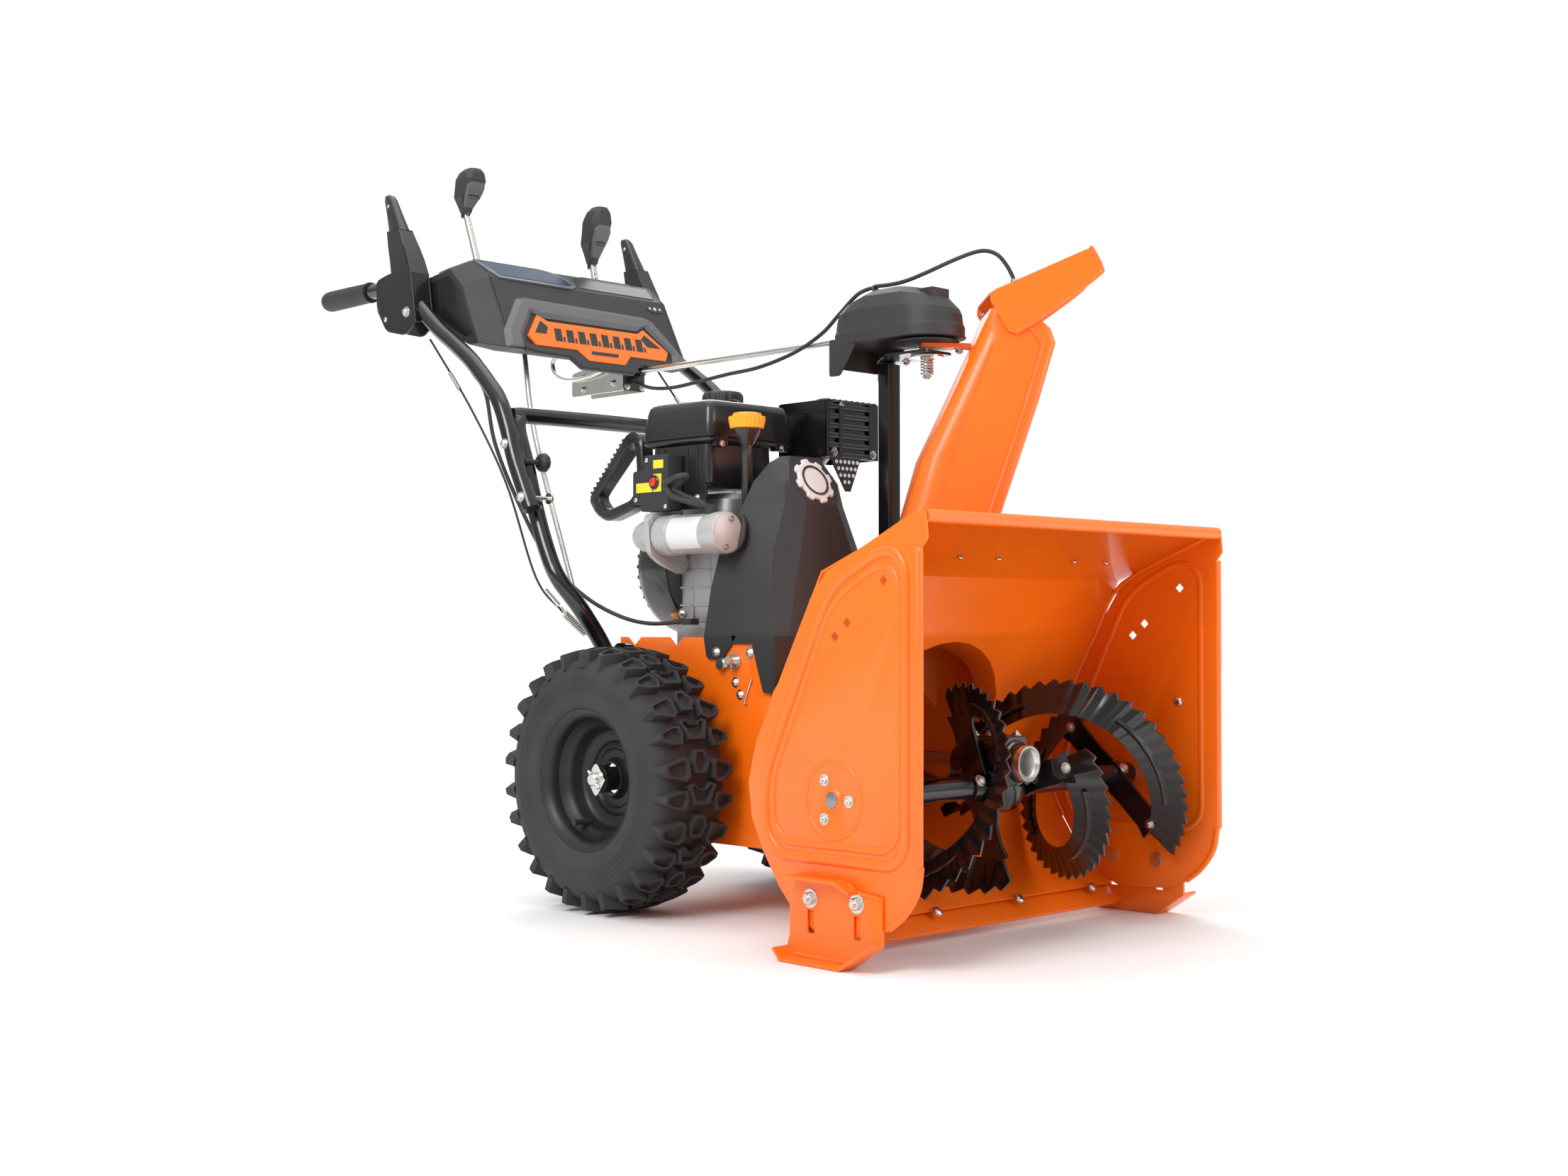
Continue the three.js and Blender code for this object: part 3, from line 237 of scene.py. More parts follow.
class Shape:
    """Collects closed solids in millimetres and makes one Blender object of them."""

    def __init__(self):
        self.verts = []
        self.faces = []

    def loft(self, rings, loop=False, caps=True):
        """Joins rings of equal length; loop closes the row of rings on itself."""
        first = len(self.verts)
        n, rows = len(rings[0]), len(rings)
        for ring in rings:
            self.verts += [Vector(p) for p in ring]
        for k in range(rows if loop else rows - 1):
            a, b = first + k * n, first + (k + 1) % rows * n
            for i in range(n):
                j = (i + 1) % n
                self.faces.append([a + i, a + j, b + j, b + i])
        if caps and not loop:
            self.faces.append([first + i for i in reversed(range(n))])
            self.faces.append([first + (rows - 1) * n + i for i in range(n)])
        return self

    def tube(self, points, radius, sides=16, steps=8, flat=1.0):
        """A round bar along a smooth line; flat squashes its section across."""
        line = smooth_line(points, steps) if steps else [Vector(p) for p in points]
        radii = radius if callable(radius) else lambda _t: radius
        side = frame_of(line[1] - line[0])[0]
        rings = []
        for i, p in enumerate(line):
            along = (line[min(i + 1, len(line) - 1)] - line[max(i - 1, 0)]).normalized()
            side = (side - along * side.dot(along)).normalized()
            up = side.cross(along)
            r = radii(i / (len(line) - 1))
            rings.append([p + side * (a * r * flat) + up * (b * r) for a, b in circle(0, 0, 1, sides)])
        return self.loft(rings)

    def rod(self, start, end, radius, end_radius=None, sides=24):
        a, b = Vector(start), Vector(end)
        side, up = frame_of(b - a)
        radii = (radius, radius if end_radius is None else end_radius)
        return self.loft(
            [
                [p + side * u * r + up * v * r for u, v in circle(0, 0, 1, sides)]
                for p, r in zip((a, b), radii)
            ]
        )

    def turned(self, profile, axis, centre, sides=48):
        """A closed outline of (radius, along) points turned about an axis direction through a centre."""
        along = Vector(axis).normalized()
        side, up = frame_of(along)
        c = Vector(centre)
        rings = []
        for a, b in circle(0, 0, 1, sides):
            out = side * a + up * b
            rings.append([c + out * r + along * h for r, h in profile])
        return self.loft(rings, loop=True)

    def prism(self, outline, plane, a, b):
        """An outline in the plane square to the axis named, from a to b along it."""
        if plane == "x":
            return self.loft([[(d, p[0], p[1]) for p in outline] for d in (a, b)])
        if plane == "y":
            return self.loft([[(p[0], d, p[1]) for p in outline] for d in (a, b)])
        return self.loft([[(p[0], p[1], d) for p in outline] for d in (a, b)])

    def block(self, x0, x1, y0, y1, z0, z1):
        return self.prism([(y0, z0), (y1, z0), (y1, z1), (y0, z1)], "x", x0, x1)

    def bolt(self, at, out, size=6.0):
        """A washer and a chamfered six-sided head that stand on a face; size is the head's radius."""
        p, d = Vector(at), Vector(out).normalized()
        self.rod(p - d, p + d * 1.2, size * 1.45, sides=24)
        self.rod(p + d * 1.2, p + d * (size * 0.75), size, sides=6)
        self.rod(p + d * (size * 0.75), p + d * (size * 0.95), size, size * 0.8, sides=6)
        return self.rod(p, p + d * (size * 1.25), size * 0.45, sides=12)

    def dome(self, at, out, radius, height):
        """A round carriage-bolt head."""
        steps = [(radius * math.cos(a), height * math.sin(a)) for a in (i * math.pi / 12 for i in range(7))]
        return self.turned([(0, -1), (radius, -1)] + steps, out, at, 24)

    def coil(self, start, end, radius, wire, turns):
        """A wire helix between two points."""
        a, b = Vector(start), Vector(end)
        side, up = frame_of(b - a)
        line = []
        for i in range(turns * 12 + 1):
            angle = i * math.pi / 6
            line.append(
                a.lerp(b, i / (turns * 12)) + side * math.cos(angle) * radius + up * math.sin(angle) * radius
            )
        return self.tube(line, wire, 6, 0)

    def make(self, name, material, body, slot, replaces=(), bevel=0.0, angle=32):
        """One Blender object on a body; a piece that takes over its CAD node's name gets _skin after it."""
        if name in replaces:
            name += "_skin"
        mesh = bpy.data.meshes.new(name)
        mesh.from_pydata([place(v) for v in self.verts], [], self.faces)
        b = bmesh.new()
        b.from_mesh(mesh)
        bmesh.ops.remove_doubles(b, verts=b.verts, dist=1e-6)
        bmesh.ops.dissolve_degenerate(b, edges=b.edges, dist=1e-7)
        bmesh.ops.recalc_face_normals(b, faces=b.faces)
        b.to_mesh(mesh)
        b.free()
        mesh.shade_smooth()
        mesh.set_sharp_from_angle(angle=math.radians(angle))
        mesh.materials.append(material)
        piece = bpy.data.objects.new(name, mesh)
        bpy.context.scene.collection.objects.link(piece)
        if bevel:
            edge = piece.modifiers.new("soft edges", "BEVEL")
            edge.width = bevel * MM
            edge.segments = 2
            edge.limit_method = "ANGLE"
            edge.angle_limit = math.radians(angle)
            edge.harden_normals = True
        if body:
            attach(piece, body)
        if replaces:
            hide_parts(*replaces)
        return piece


def finish_node(node, material, bevel=0.0, angle=32):
    """Gives a CAD node that stays its material, welded smooth shading and softened edges."""
    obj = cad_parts[node]
    obj.data.materials.clear()
    obj.data.materials.append(material)
    weld = obj.modifiers.new("weld", "WELD")
    weld.merge_threshold = 0.00002
    if bevel:
        edge = obj.modifiers.new("soft edges", "BEVEL")
        edge.width = bevel * MM
        edge.segments = 2
        edge.limit_method = "ANGLE"
        edge.angle_limit = math.radians(angle)
    obj.data.shade_smooth()
    obj.data.set_sharp_from_angle(angle=math.radians(angle))


# ---------- camera, light and floor ----------
def set_stage():
    """Camera, soft studio light and a pale floor that fades into white."""
    scene = bpy.context.scene
    camera = bpy.data.objects.new("camera", bpy.data.cameras.new("camera"))
    camera.data.sensor_width = 36
    camera.data.lens = 43.506
    camera.location = (-1.94258, -2.13266, 0.40303)
    camera.rotation_euler = (math.radians(91.195), 0, math.radians(-44.454))
    scene.collection.objects.link(camera)
    scene.camera = camera
    scene.view_settings.view_transform = "Standard"

    world = bpy.data.worlds.new("studio")
    world.use_nodes = True
    nodes, links = world.node_tree.nodes, world.node_tree.links
    background = nodes["Background"]
    background.inputs["Strength"].default_value = 1.0
    where = nodes.new("ShaderNodeTexCoord")
    split = nodes.new("ShaderNodeSeparateXYZ")
    links.new(where.outputs["Generated"], split.inputs["Vector"])
    dome = nodes.new("ShaderNodeValToRGB")
    dome.color_ramp.elements[0].position = 0.0
    dome.color_ramp.elements[0].color = (0.28, 0.28, 0.28, 1)
    dome.color_ramp.elements[1].position = 0.75
    dome.color_ramp.elements[1].color = (1.0, 1.0, 1.0, 1)
    links.new(split.outputs["Z"], dome.inputs["Fac"])
    seen = nodes.new("ShaderNodeLightPath")
    choose = nodes.new("ShaderNodeMix")
    choose.data_type = "RGBA"
    choose.inputs["B"].default_value = (1.0, 1.0, 1.0, 1)
    links.new(seen.outputs["Is Camera Ray"], choose.inputs["Factor"])
    links.new(dome.outputs["Color"], choose.inputs["A"])
    links.new(choose.outputs["Result"], background.inputs["Color"])
    scene.world = world

    def area(name, power, size, location, target=(0, -0.1, 0.5), colour=(1, 1, 1)):
        light = bpy.data.lights.new(name, "AREA")
        light.energy, light.size, light.color = power, size, colour
        obj = bpy.data.objects.new(name, light)
        obj.location = location
        obj.rotation_euler = (Vector(target) - Vector(location)).to_track_quat("-Z", "Y").to_euler()
        scene.collection.objects.link(obj)

    area("key", 58, 1.3, (-2.6, -0.9, 2.3))
    area("front_fill", 30, 1.6, (1.3, -3.0, 1.3))
    area("back_rim", 34, 1.6, (1.8, 2.2, 2.4))
    area("top", 30, 2.6, (0, 0, 3.4))

    floor = bpy.data.meshes.new("floor")
    reach = 14
    floor.from_pydata(
        [
            (-reach, -reach, 0), (reach, -reach, 0), (reach, reach, 0), (-reach, reach, 0),
        ], [], [(0, 1, 2, 3)],
    )
    pale = surface("pale_floor", (0.86, 0.86, 0.86), 0.65, 0.0, 40, 0.0, 0.01)
    nodes, links = pale.node_tree.nodes, pale.node_tree.links
    where = nodes.new("ShaderNodeTexCoord")
    far = nodes.new("ShaderNodeVectorMath")
    far.operation = "LENGTH"
    links.new(where.outputs["Object"], far.inputs[0])
    glow = nodes.new("ShaderNodeMapRange")
    glow.inputs["From Min"].default_value = 1.3
    glow.inputs["From Max"].default_value = 3.2
    glow.inputs["To Max"].default_value = 0.7
    links.new(far.outputs["Value"], glow.inputs["Value"])
    shader = nodes["Principled BSDF"]
    shader.inputs["Emission Color"].default_value = (1, 1, 1, 1)
    links.new(glow.outputs["Result"], shader.inputs["Emission Strength"])
    floor.materials.append(pale)
    floor_object = bpy.data.objects.new("floor", floor)
    floor_object.location.z = cad_box[0].z - 0.0005
    scene.collection.objects.link(floor_object)


set_stage()

CAD_FINISH = {
    ORANGE: [
        "tractor_frame", "auger_housing", "side_plate_right", "side_plate_left", "skid_right", "skid_left",
        "scraper_bar",
    ],
    BLACK: ["impeller"], PLASTIC: ["chute_ring"], CAST: ["impeller_pulley", "crank_pulley", "drive_disc"],
    STEEL: ["drive_axle", "hex_shaft", "auger_shaft", "impeller_shaft"],
    RUBBER: ["friction_wheel", "drive_belt"],
}
for finish, finish_nodes in CAD_FINISH.items():
    for node_name in finish_nodes:
        finish_node(node_name, finish, 0.5)


# ---------- wheels ----------
WHEEL_X = mid("tyre_left", 0)
WHEEL_R = (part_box("tyre_left")[1].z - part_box("tyre_left")[0].z) / 2 / MM
PITCHES = 13  # tread patterns round a tyre


def tyre_profile():
    """Half the tyre's skin as (x from its middle, radius): tread, ringed sidewall, then the bead."""
    skin = [(0, 175), (30, 174), (46, 171), (56, 165), (60.5, 157), (62.2, 149)]
    for r in (143, 137, 131, 125):
        skin += [(62.6, r + 1.6), (63.4, r + 0.9), (63.4, r - 0.2), (62.6, r - 0.9)]
    return skin + [
        (62, 116), (61, 108), (59.6, 104), (57, 101), (50, 99), (42, 96), (38, 94), (38, 98), (44, 112),
    ]


def add_lug(shape, outline, side, turn, top, base, shrink=0.84):
    """A rubber block: outline points are (x across the tread, arc length along it), with a sunk middle."""
    cx = sum(p[0] for p in outline) / len(outline)
    cs = sum(p[1] for p in outline) / len(outline)

    def ring(scale, radius):
        points = []
        for x, s in outline:
            px, ps = lerp(cx, x, scale), lerp(cs, s, scale)
            angle = turn + ps / WHEEL_R
            drop = max(0.0, abs(px) - 34) * 0.22
            r = radius - drop
            points.append((side * WHEEL_X + px, r * math.sin(angle), AXLE_Z + r * math.cos(angle)))
        return points

    rings = [ring(1.0, base), ring(shrink, top), ring(shrink * 0.76, top), ring(shrink * 0.7, top - 7)]
    shape.loft(rings)


LONG_LUG = [(63, -5), (62, 5), (26, 16), (20, 8), (19, -13), (29, -20), (56, -13)]
SHORT_LUG = [(63, -4), (61, 6), (40, 14), (26, 14), (22, 2), (27, -14), (44, -13)]
CENTRE_BLOCK = [(-11, -17), (9, -17), (17, 1), (7, 18), (-8, 18), (-16, 1)]
CENTRE_BOAT = [(-27, 13), (-17, 17), (-8, 7), (8, 7), (17, 17), (27, 13), (15, -15), (-15, -15)]


def make_tyre(name, side):
    """A carcass with moulded rings, paired shoulder lugs and two kinds of centre lug."""
    half = tyre_profile()
    profile = [(r, x) for x, r in half] + [(r, -x) for x, r in reversed(half[1:])]
    carcass = Shape().turned(profile, (1, 0, 0), (side * WHEEL_X, 0, AXLE_Z), 112)
    step = 2 * math.pi / PITCHES
    for i in range(PITCHES):
        turn = i * step
        for way in (1, -1):
            lag = 0 if way == 1 else step * 0.04
            add_lug(
                carcass, [(x * way, s) for x, s in LONG_LUG], side, turn + lag, WHEEL_R - 0.6, 165, 0.93,
            )
            add_lug(
                carcass, [(x * way, s) for x, s in SHORT_LUG], side, turn + step / 2 + lag, WHEEL_R - 0.6,
                165, 0.93,
            )
        add_lug(carcass, CENTRE_BLOCK, side, turn + step * 0.12, WHEEL_R - 0.6, 170, 0.92)
        add_lug(carcass, CENTRE_BOAT, side, turn + step * 0.62, WHEEL_R - 0.6, 170, 0.94)
    carcass.make(name, TYRE, "wheels", "tyre", [name], bevel=0.35, angle=30)


def make_rim(name, side):
    """A deep dished rim with its hub, zinc pin plate and valve."""
    out = (side, 0, 0)
    centre = (side * WHEEL_X, 0, AXLE_Z)
    dish = Shape()
    front = [
        (98.6, 56), (100.4, 57), (101, 54), (98, 51), (92, 49), (88, 44), (85, 32), (77, 25), (73, 19),
        (71, 6), (66, 1), (54, -1), (50, 2), (44, 2), (40, -2), (30, -2), (27, 2), (25, 10),
    ]
    back = [
        (22, 10), (24, -5), (40, -5), (54, -4), (68, -3), (75, 4), (77, 16), (82, 20), (82, -34), (92, -40),
        (97, -44), (95, -46), (88, -42), (79, -38), (79, -8), (84, 22), (87, 44), (91, 51), (96, 54),
    ]
    dish.turned(front + back, out, centre, 96)
    dish.make(name, SATIN_BLACK, "wheels", "black_paint", [name], bevel=0.5, angle=40)
    hub = Shape()
    hub.turned(
        [(10.2, -24), (17, -24), (17, 24), (20, 25), (20, 32), (15, 34), (10.2, 34)], out, centre, 48,
    )
    hub.make(name + "_hub", SATIN_BLACK, "wheels", "black_paint", bevel=0.6)
    trim = Shape()
    x = side * (WHEEL_X + 36)
    plate = [
        (-21, 0), (-17, -5), (-5, -19), (0, -22), (5, -19), (17, -5), (21, 0), (17, 5), (5, 19), (0, 22),
        (-5, 19), (-17, 5),
    ]
    trim.prism([(y * 0.95 - 3, AXLE_Z + z * 1.05) for y, z in plate], "x", x, x + side * 2.5)
    trim.rod((side * (WHEEL_X + 30), 0, AXLE_Z), (side * (WHEEL_X + 43), 0, AXLE_Z), 9.5, sides=32)
    trim.rod((side * (WHEEL_X + 43), 0, AXLE_Z), (side * (WHEEL_X + 45), 0, AXLE_Z), 9.5, 7.5, sides=32)
    trim.bolt((x + side * 2.5, -14, AXLE_Z + 6), out, 4.5)
    trim.rod((x + side * 5, -12, AXLE_Z - 12), (x + side * 5, 10, AXLE_Z + 12), 2.4, sides=12)
    trim.make(name + "_pin_plate", ZINC, "wheels", "zinc", bevel=0.4)
    valve = Shape()
    at = Vector((side * (WHEEL_X + 17), 36, AXLE_Z - 63))
    valve.rod(at, at + Vector((side * 22, 0, 0)), 5, 3.6, 20)
    valve.rod(at + Vector((side * 22, 0, 0)), at + Vector((side * 30, 0, 0)), 4.4, sides=16)
    valve.make(name + "_valve", RUBBER, "wheels", "rubber", bevel=0.4)


for side_name, side_sign in SIDES.items():
    make_tyre(f"tyre_{side_name}", side_sign)
    make_rim(f"rim_{side_name}", side_sign)

# ---------- auger housing ----------
LIP = (-664, 532)  # rolled front edge of the top panel, (y, z)
EMBOSS = [
    (-423, 264), (-400, 207), (-406, 148), (-429, 124), (-616, 124), (-637, 143), (-637, 472), (-621, 492),
    (-594, 492), (-517, 453),
]
HALF_INSIDE = PLATE_OUT - 3  # inner face of the side plates


def closed_ridge(shape, points, wide, high, sides):
    """A ridge along closed points on a side plate: half its width is wide, its height high."""
    out = Vector((1, 0, 0))
    rings = []
    for i, p in enumerate(points):
        along = (points[(i + 1) % len(points)] - points[i - 1]).normalized()
        across = along.cross(out)
        rings.append([p + across * (a * wide) + out * (b * high) for a, b in circle(0, 0, 1, sides)])
    shape.loft(rings, loop=True)


def bead(shape, outline, x, radius, squash):
    """A rounded pressing along an outline of (y, z) points at x."""
    points = [Vector((x, y, z)) for y, z in rounded(outline, 34, 6)]
    closed_ridge(shape, points, radius, radius * squash, 12)


def inset(outline, amount):
    """A (y, z) outline with each point moved towards its middle."""
    cy = sum(p[0] for p in outline) / len(outline)
    cz = sum(p[1] for p in outline) / len(outline)
    out = []
    for y, z in outline:
        d = Vector((cy - y, cz - z))
        d.normalize()
        out.append((y + d.x * amount, z + d.y * amount))
    return out


def side_plate_details(name, side):
    """Pressed ridges, front lip, bolts and the auger bearing of one side plate."""
    face = side * (PLATE_OUT - 0.2)
    ridge = Shape()
    bead(ridge, EMBOSS, face, 7.0, 0.55)
    bead(ridge, inset(EMBOSS, 19), face, 4.6, 0.55)
    closed_ridge(ridge, [Vector((face, y, z)) for y, z in circle(AUGER_Y, AUGER_Z, 46, 40)], 3.2, 1.6, 10)
    front = [
        (side * (PLATE_OUT + 2), -660, 128), (side * (PLATE_OUT + 2), -661, 300),
        (side * (PLATE_OUT + 2), -661, 490),
    ]
    ridge.tube(front, 5.0, 16, 6)
    low = [(-661, 128), (-655, 98), (-635, 70), (-612, 52)]
    ridge.tube([(side * (PLATE_OUT - 1), y, z) for y, z in low], 4.0, 12, 5)
    ridge.make(f"side_plate_{name}_pressings", ORANGE, "chassis", "orange_paint", angle=50)
    inner = Shape()
    bead(inner, EMBOSS, side * (PLATE_OUT - 2.9), 4.2, 0.5)
    inner.make(f"side_plate_{name}_inner_pressing", ORANGE, "chassis", "orange_paint", angle=50)
    metal = Shape()
    out = (side, 0, 0)
    for angle in (60, 180, 300):
        at = (
            side * PLATE_OUT, AUGER_Y + 27 * math.cos(math.radians(angle)),
            AUGER_Z + 27 * math.sin(math.radians(angle)),
        )
        metal.bolt(at, out, 5.2)
    for y, z in ((-488, 76), (-565, 77)):
        metal.bolt((side * (PLATE_OUT + 4.3), y, z), out, 8.2)
    metal.make(f"side_plate_{name}_bolts", ZINC, "chassis", "zinc", bevel=0.35)
    hub = Shape()
    hub.turned(
        [(9.8, 0), (15, 0), (15, 2.5), (12, 5), (9.8, 5)], out,
        (side * (PLATE_OUT - 2.5), AUGER_Y, AUGER_Z), 32,
    )
    hub.make(f"auger_bearing_{name}", ORANGE, "chassis", "orange_paint", bevel=0.3)


def housing_details():
    """Rolled lip, seams along the side plates and carriage bolts."""
    seams = Shape()
    half = PLATE_OUT - 4
    seams.tube([(-half, *LIP), (0, *LIP), (half, *LIP)], 8.2, 20, 6)
    for side in (-1, 1):
        corner = [(-650, 528), (-509, 466), (-462, 396), (-390, 262), (-377, 212), (-382, 168), (-402, 128)]
        seams.tube([(side * (half - 1), y, z) for y, z in corner], 3.2, 12, 4)
    seams.make("housing_seams", ORANGE, "chassis", "orange_paint", angle=50)
    metal = Shape()
    slope = Vector((0, 0.37, -0.93))
    for x in (-118, -42, 118, 190):
        metal.dome((x, -560, 491.8), slope, 5.0, 2.6)
    for x in (-248, -84, 84, 248):
        metal.dome((x, -493, 37), (0, -0.68, 0.74), 7.5, 4)
    for side in (-1, 1):
        for y, z in ((-470, 92), (-588, 96), (-440, 250), (-600, 300)):
            metal.dome((side * (HALF_INSIDE - 0.3), y, z), (-side, 0, 0), 7, 3.6)
    metal.make("housing_carriage_bolts", ZINC, "chassis", "zinc")


for side_name, side_sign in SIDES.items():
    side_plate_details(side_name, side_sign)
housing_details()


# ---------- augers, gearcase and impeller ----------
SWEEP = math.radians(258)
ROOT_R, TIP_R, TOOTH = 90, 137, 8
FLIGHT_START, FLIGHT_END, LEAN, FLIGHT_THICK = 34, 284, 22, 4


def flight_point(side, turn, t, radius, lean_share, shift):
    """A point on a flight: t runs from its inner end to its outer, radius from the shaft."""
    angle = math.radians(turn) - SWEEP * t
    x = lerp(FLIGHT_START, FLIGHT_END, t)
    lean = min(LEAN, x - FLIGHT_START) * lean_share
    return Vector(
        (side * (x - lean + shift), AUGER_Y - radius * math.cos(angle), AUGER_Z + radius * math.sin(angle))
    )


def add_flight(shape, side, turn):
    """One toothed ribbon of an auger, with pressed ribs and its arms."""
    steps, teeth = 120, 30
    rings = []
    for i in range(steps + 1):
        t = i / steps
        tip = TIP_R - TOOTH * (1 - (i % (steps // teeth)) / (steps // teeth - 1))
        middle = (ROOT_R + tip) / 2
        rings.append(
            [
                flight_point(side, turn, t, ROOT_R, 1.0, 0), flight_point(side, turn, t, middle, 0.42, 0.0),
                flight_point(side, turn, t, tip, 0, 0), flight_point(side, turn, t, tip, 0, FLIGHT_THICK),
                flight_point(side, turn, t, middle, 0.42, FLIGHT_THICK),
                flight_point(side, turn, t, ROOT_R, 1.0, FLIGHT_THICK),
            ]
        )
    shape.loft(rings)
    for start, end in ((0.1, 0.36), (0.6, 0.86)):
        for shift in (-0.4, FLIGHT_THICK + 0.4):
            line = [flight_point(side, turn, lerp(start, end, k / 10), 108, 0.6, shift) for k in range(11)]
            shape.tube(line, 3.4, 10, 3)
    for t in (0.03, 0.96):
        add_arm(shape, side, turn, t)


def add_arm(shape, side, turn, t):
    """A flat arm from the tube to the flight, a little wider at both ends."""
    angle = math.radians(turn) - SWEEP * t
    out = Vector((0, -math.cos(angle), math.sin(angle)))
    across = Vector((0, math.sin(angle), math.cos(angle)))
    x = lerp(FLIGHT_START, FLIGHT_END, t)
    inner = x - min(LEAN, x - FLIGHT_START)
    base = Vector((side * inner, AUGER_Y, AUGER_Z))
    rings = []
    for r, w in ((12, 19), (40, 17), (80, 17), (99, 22)):
        a, b = base + out * r + across * w, base + out * r - across * w
        thick = Vector((side * 5, 0, 0))
        rings.append([a, b, b + thick, a + thick])
    shape.loft(rings)


def make_auger(name, side, first_turn):
    """A tube with two opposite flights and its shear bolts."""
    body = Shape()
    a, b = side * FLIGHT_START, side * (FLIGHT_END + 8)
    body.turned(
        [(10.4, 0), (16, 0), (16, b * side - a * side), (10.4, b * side - a * side)], (side, 0, 0),
        (a, AUGER_Y, AUGER_Z), 32,
    )
    for turn in (first_turn, first_turn + 180):
        add_flight(body, side, turn)
    for x in (52, 262):
        body.turned(
            [(16, -9), (19.5, -8), (19.5, 8), (16, 9)], (side, 0, 0), (side * x, AUGER_Y, AUGER_Z), 32,
        )
    body.make(name, BLACK, "augers", "black_paint", [name], bevel=0.5, angle=36)
    pins = Shape()
    for x in (52, 262):
        for way in (-1, 1):
            pins.bolt((side * x, AUGER_Y - way * 17, AUGER_Z + way * 10), (0, -way * 0.86, way * 0.5), 5.5)
    for turn in (first_turn, first_turn + 180):
        for t in (0.03, 0.96):
            at = flight_point(side, turn, t, 93, 1.0, -0.3)
            pins.bolt(at, (-side, 0, 0), 5)
    pins.make(name + "_shear_bolts", ZINC, "augers", "zinc", bevel=0.3)


make_auger("auger_right", -1, 115)
make_auger("auger_left", 1, 24)


def make_gearcase():
    """Auger gearcase across the shaft, with a worm housing, front cap and bolts."""
    shell = Shape()
    centre = (0, AUGER_Y, AUGER_Z)
    shell.turned(
        [
            (10.2, -29), (24, -29), (24, -25), (31, -24), (36, -16), (36, 16), (31, 24), (24, 25), (24, 29),
            (10.2, 29),
        ],
        (1, 0, 0), centre, 48,
    )
    worm = (0, AUGER_Y, DRUM_Z)
    shell.turned(
        [
            (0, 50), (20, 50), (24, 46), (25, 38), (30, 36), (30, 30), (26, 28), (26, -40), (22, -44),
            (20, -62), (10.2, -64), (10.2, -60), (0, -55),
        ],
        (0, -1, 0), worm, 48,
    )
    shell.prism(
        [(-24, 205), (24, 205), (28, 236), (20, 262), (-20, 262), (-28, 236)], "y", AUGER_Y - 34,
        AUGER_Y + 34,
    )
    for x in (-22, 22):
        shell.rod((x, AUGER_Y - 30, 252), (x, AUGER_Y + 30, 252), 8, sides=20)
    shell.make("auger_gearcase", BLACK, "chassis", "black_paint", ["auger_gearcase"], bevel=1.6, angle=36)
    cap = Shape()
    cap.turned(
        [(0, 52), (15, 52), (18.5, 54), (20.5, 57), (23, 57), (24, 54), (24, 49), (0, 49)], (0, -1, 0),
        worm, 48,
    )
    cap.make("gearcase_front_cap", ZINC, "chassis", "zinc", bevel=0.4)
    bolts = Shape()
    for x in (-16, 16):
        for y in (-22, 22):
            bolts.bolt((x, AUGER_Y + y, 262), (0, 0, 1), 5)
    for x, y in ((-27, -30), (27, -30), (-27, 26), (27, 26)):
        bolts.bolt((x, AUGER_Y + y * 1.05, AUGER_Z + 8), (0, -1 if y < 0 else 1, 0), 4.6)
    bolts.make("gearcase_bolts", ZINC, "chassis", "zinc", bevel=0.3)


make_gearcase()

# ---------- chute, deflector and its turning gear ----------
COS_T, SIN_T = math.cos(CHUTE_TURN), math.sin(CHUTE_TURN)
# levels up the chute: (z, back, front, half width)
CHUTE_LEVELS = [
    (408, -66, 48, 66), (440, -60, 58, 66), (470, -54, 69, 66), (552, -38, 94, 63), (640, -13, 124, 61),
    (720, 25, 151, 60.5), (802, 63, 175, 60), (822, 71, 168, 60), (836, 78, 151, 60), (850, 84, 120, 60),
]
CHUTE_WALL = 2.6


def chute_spot(u, side, z):
    """u runs the way the chute points, side to its left."""
    return Vector((CHUTE_X + u * SIN_T + side * COS_T, CHUTE_Y - u * COS_T + side * SIN_T, z))


def chute_section(back, front, half, z, off=0.0):
    """A rounded section of the chute at one height, drawn in by off."""
    radii = [34 - off, 12 - off, 12 - off, 34 - off]
    if z < 460:
        radii = [34 - off] * 4
    if z > 830:
        radii = [16 - off, 9 - off, 9 - off, 16 - off]
    back, front, half = back + off, front - off, half - off
    corners = [(back, -half), (front, -half), (front, half), (back, half)]
    outline = rounded(corners, radii, 8)
    return [chute_spot(p[0], p[1], z) for p in outline]


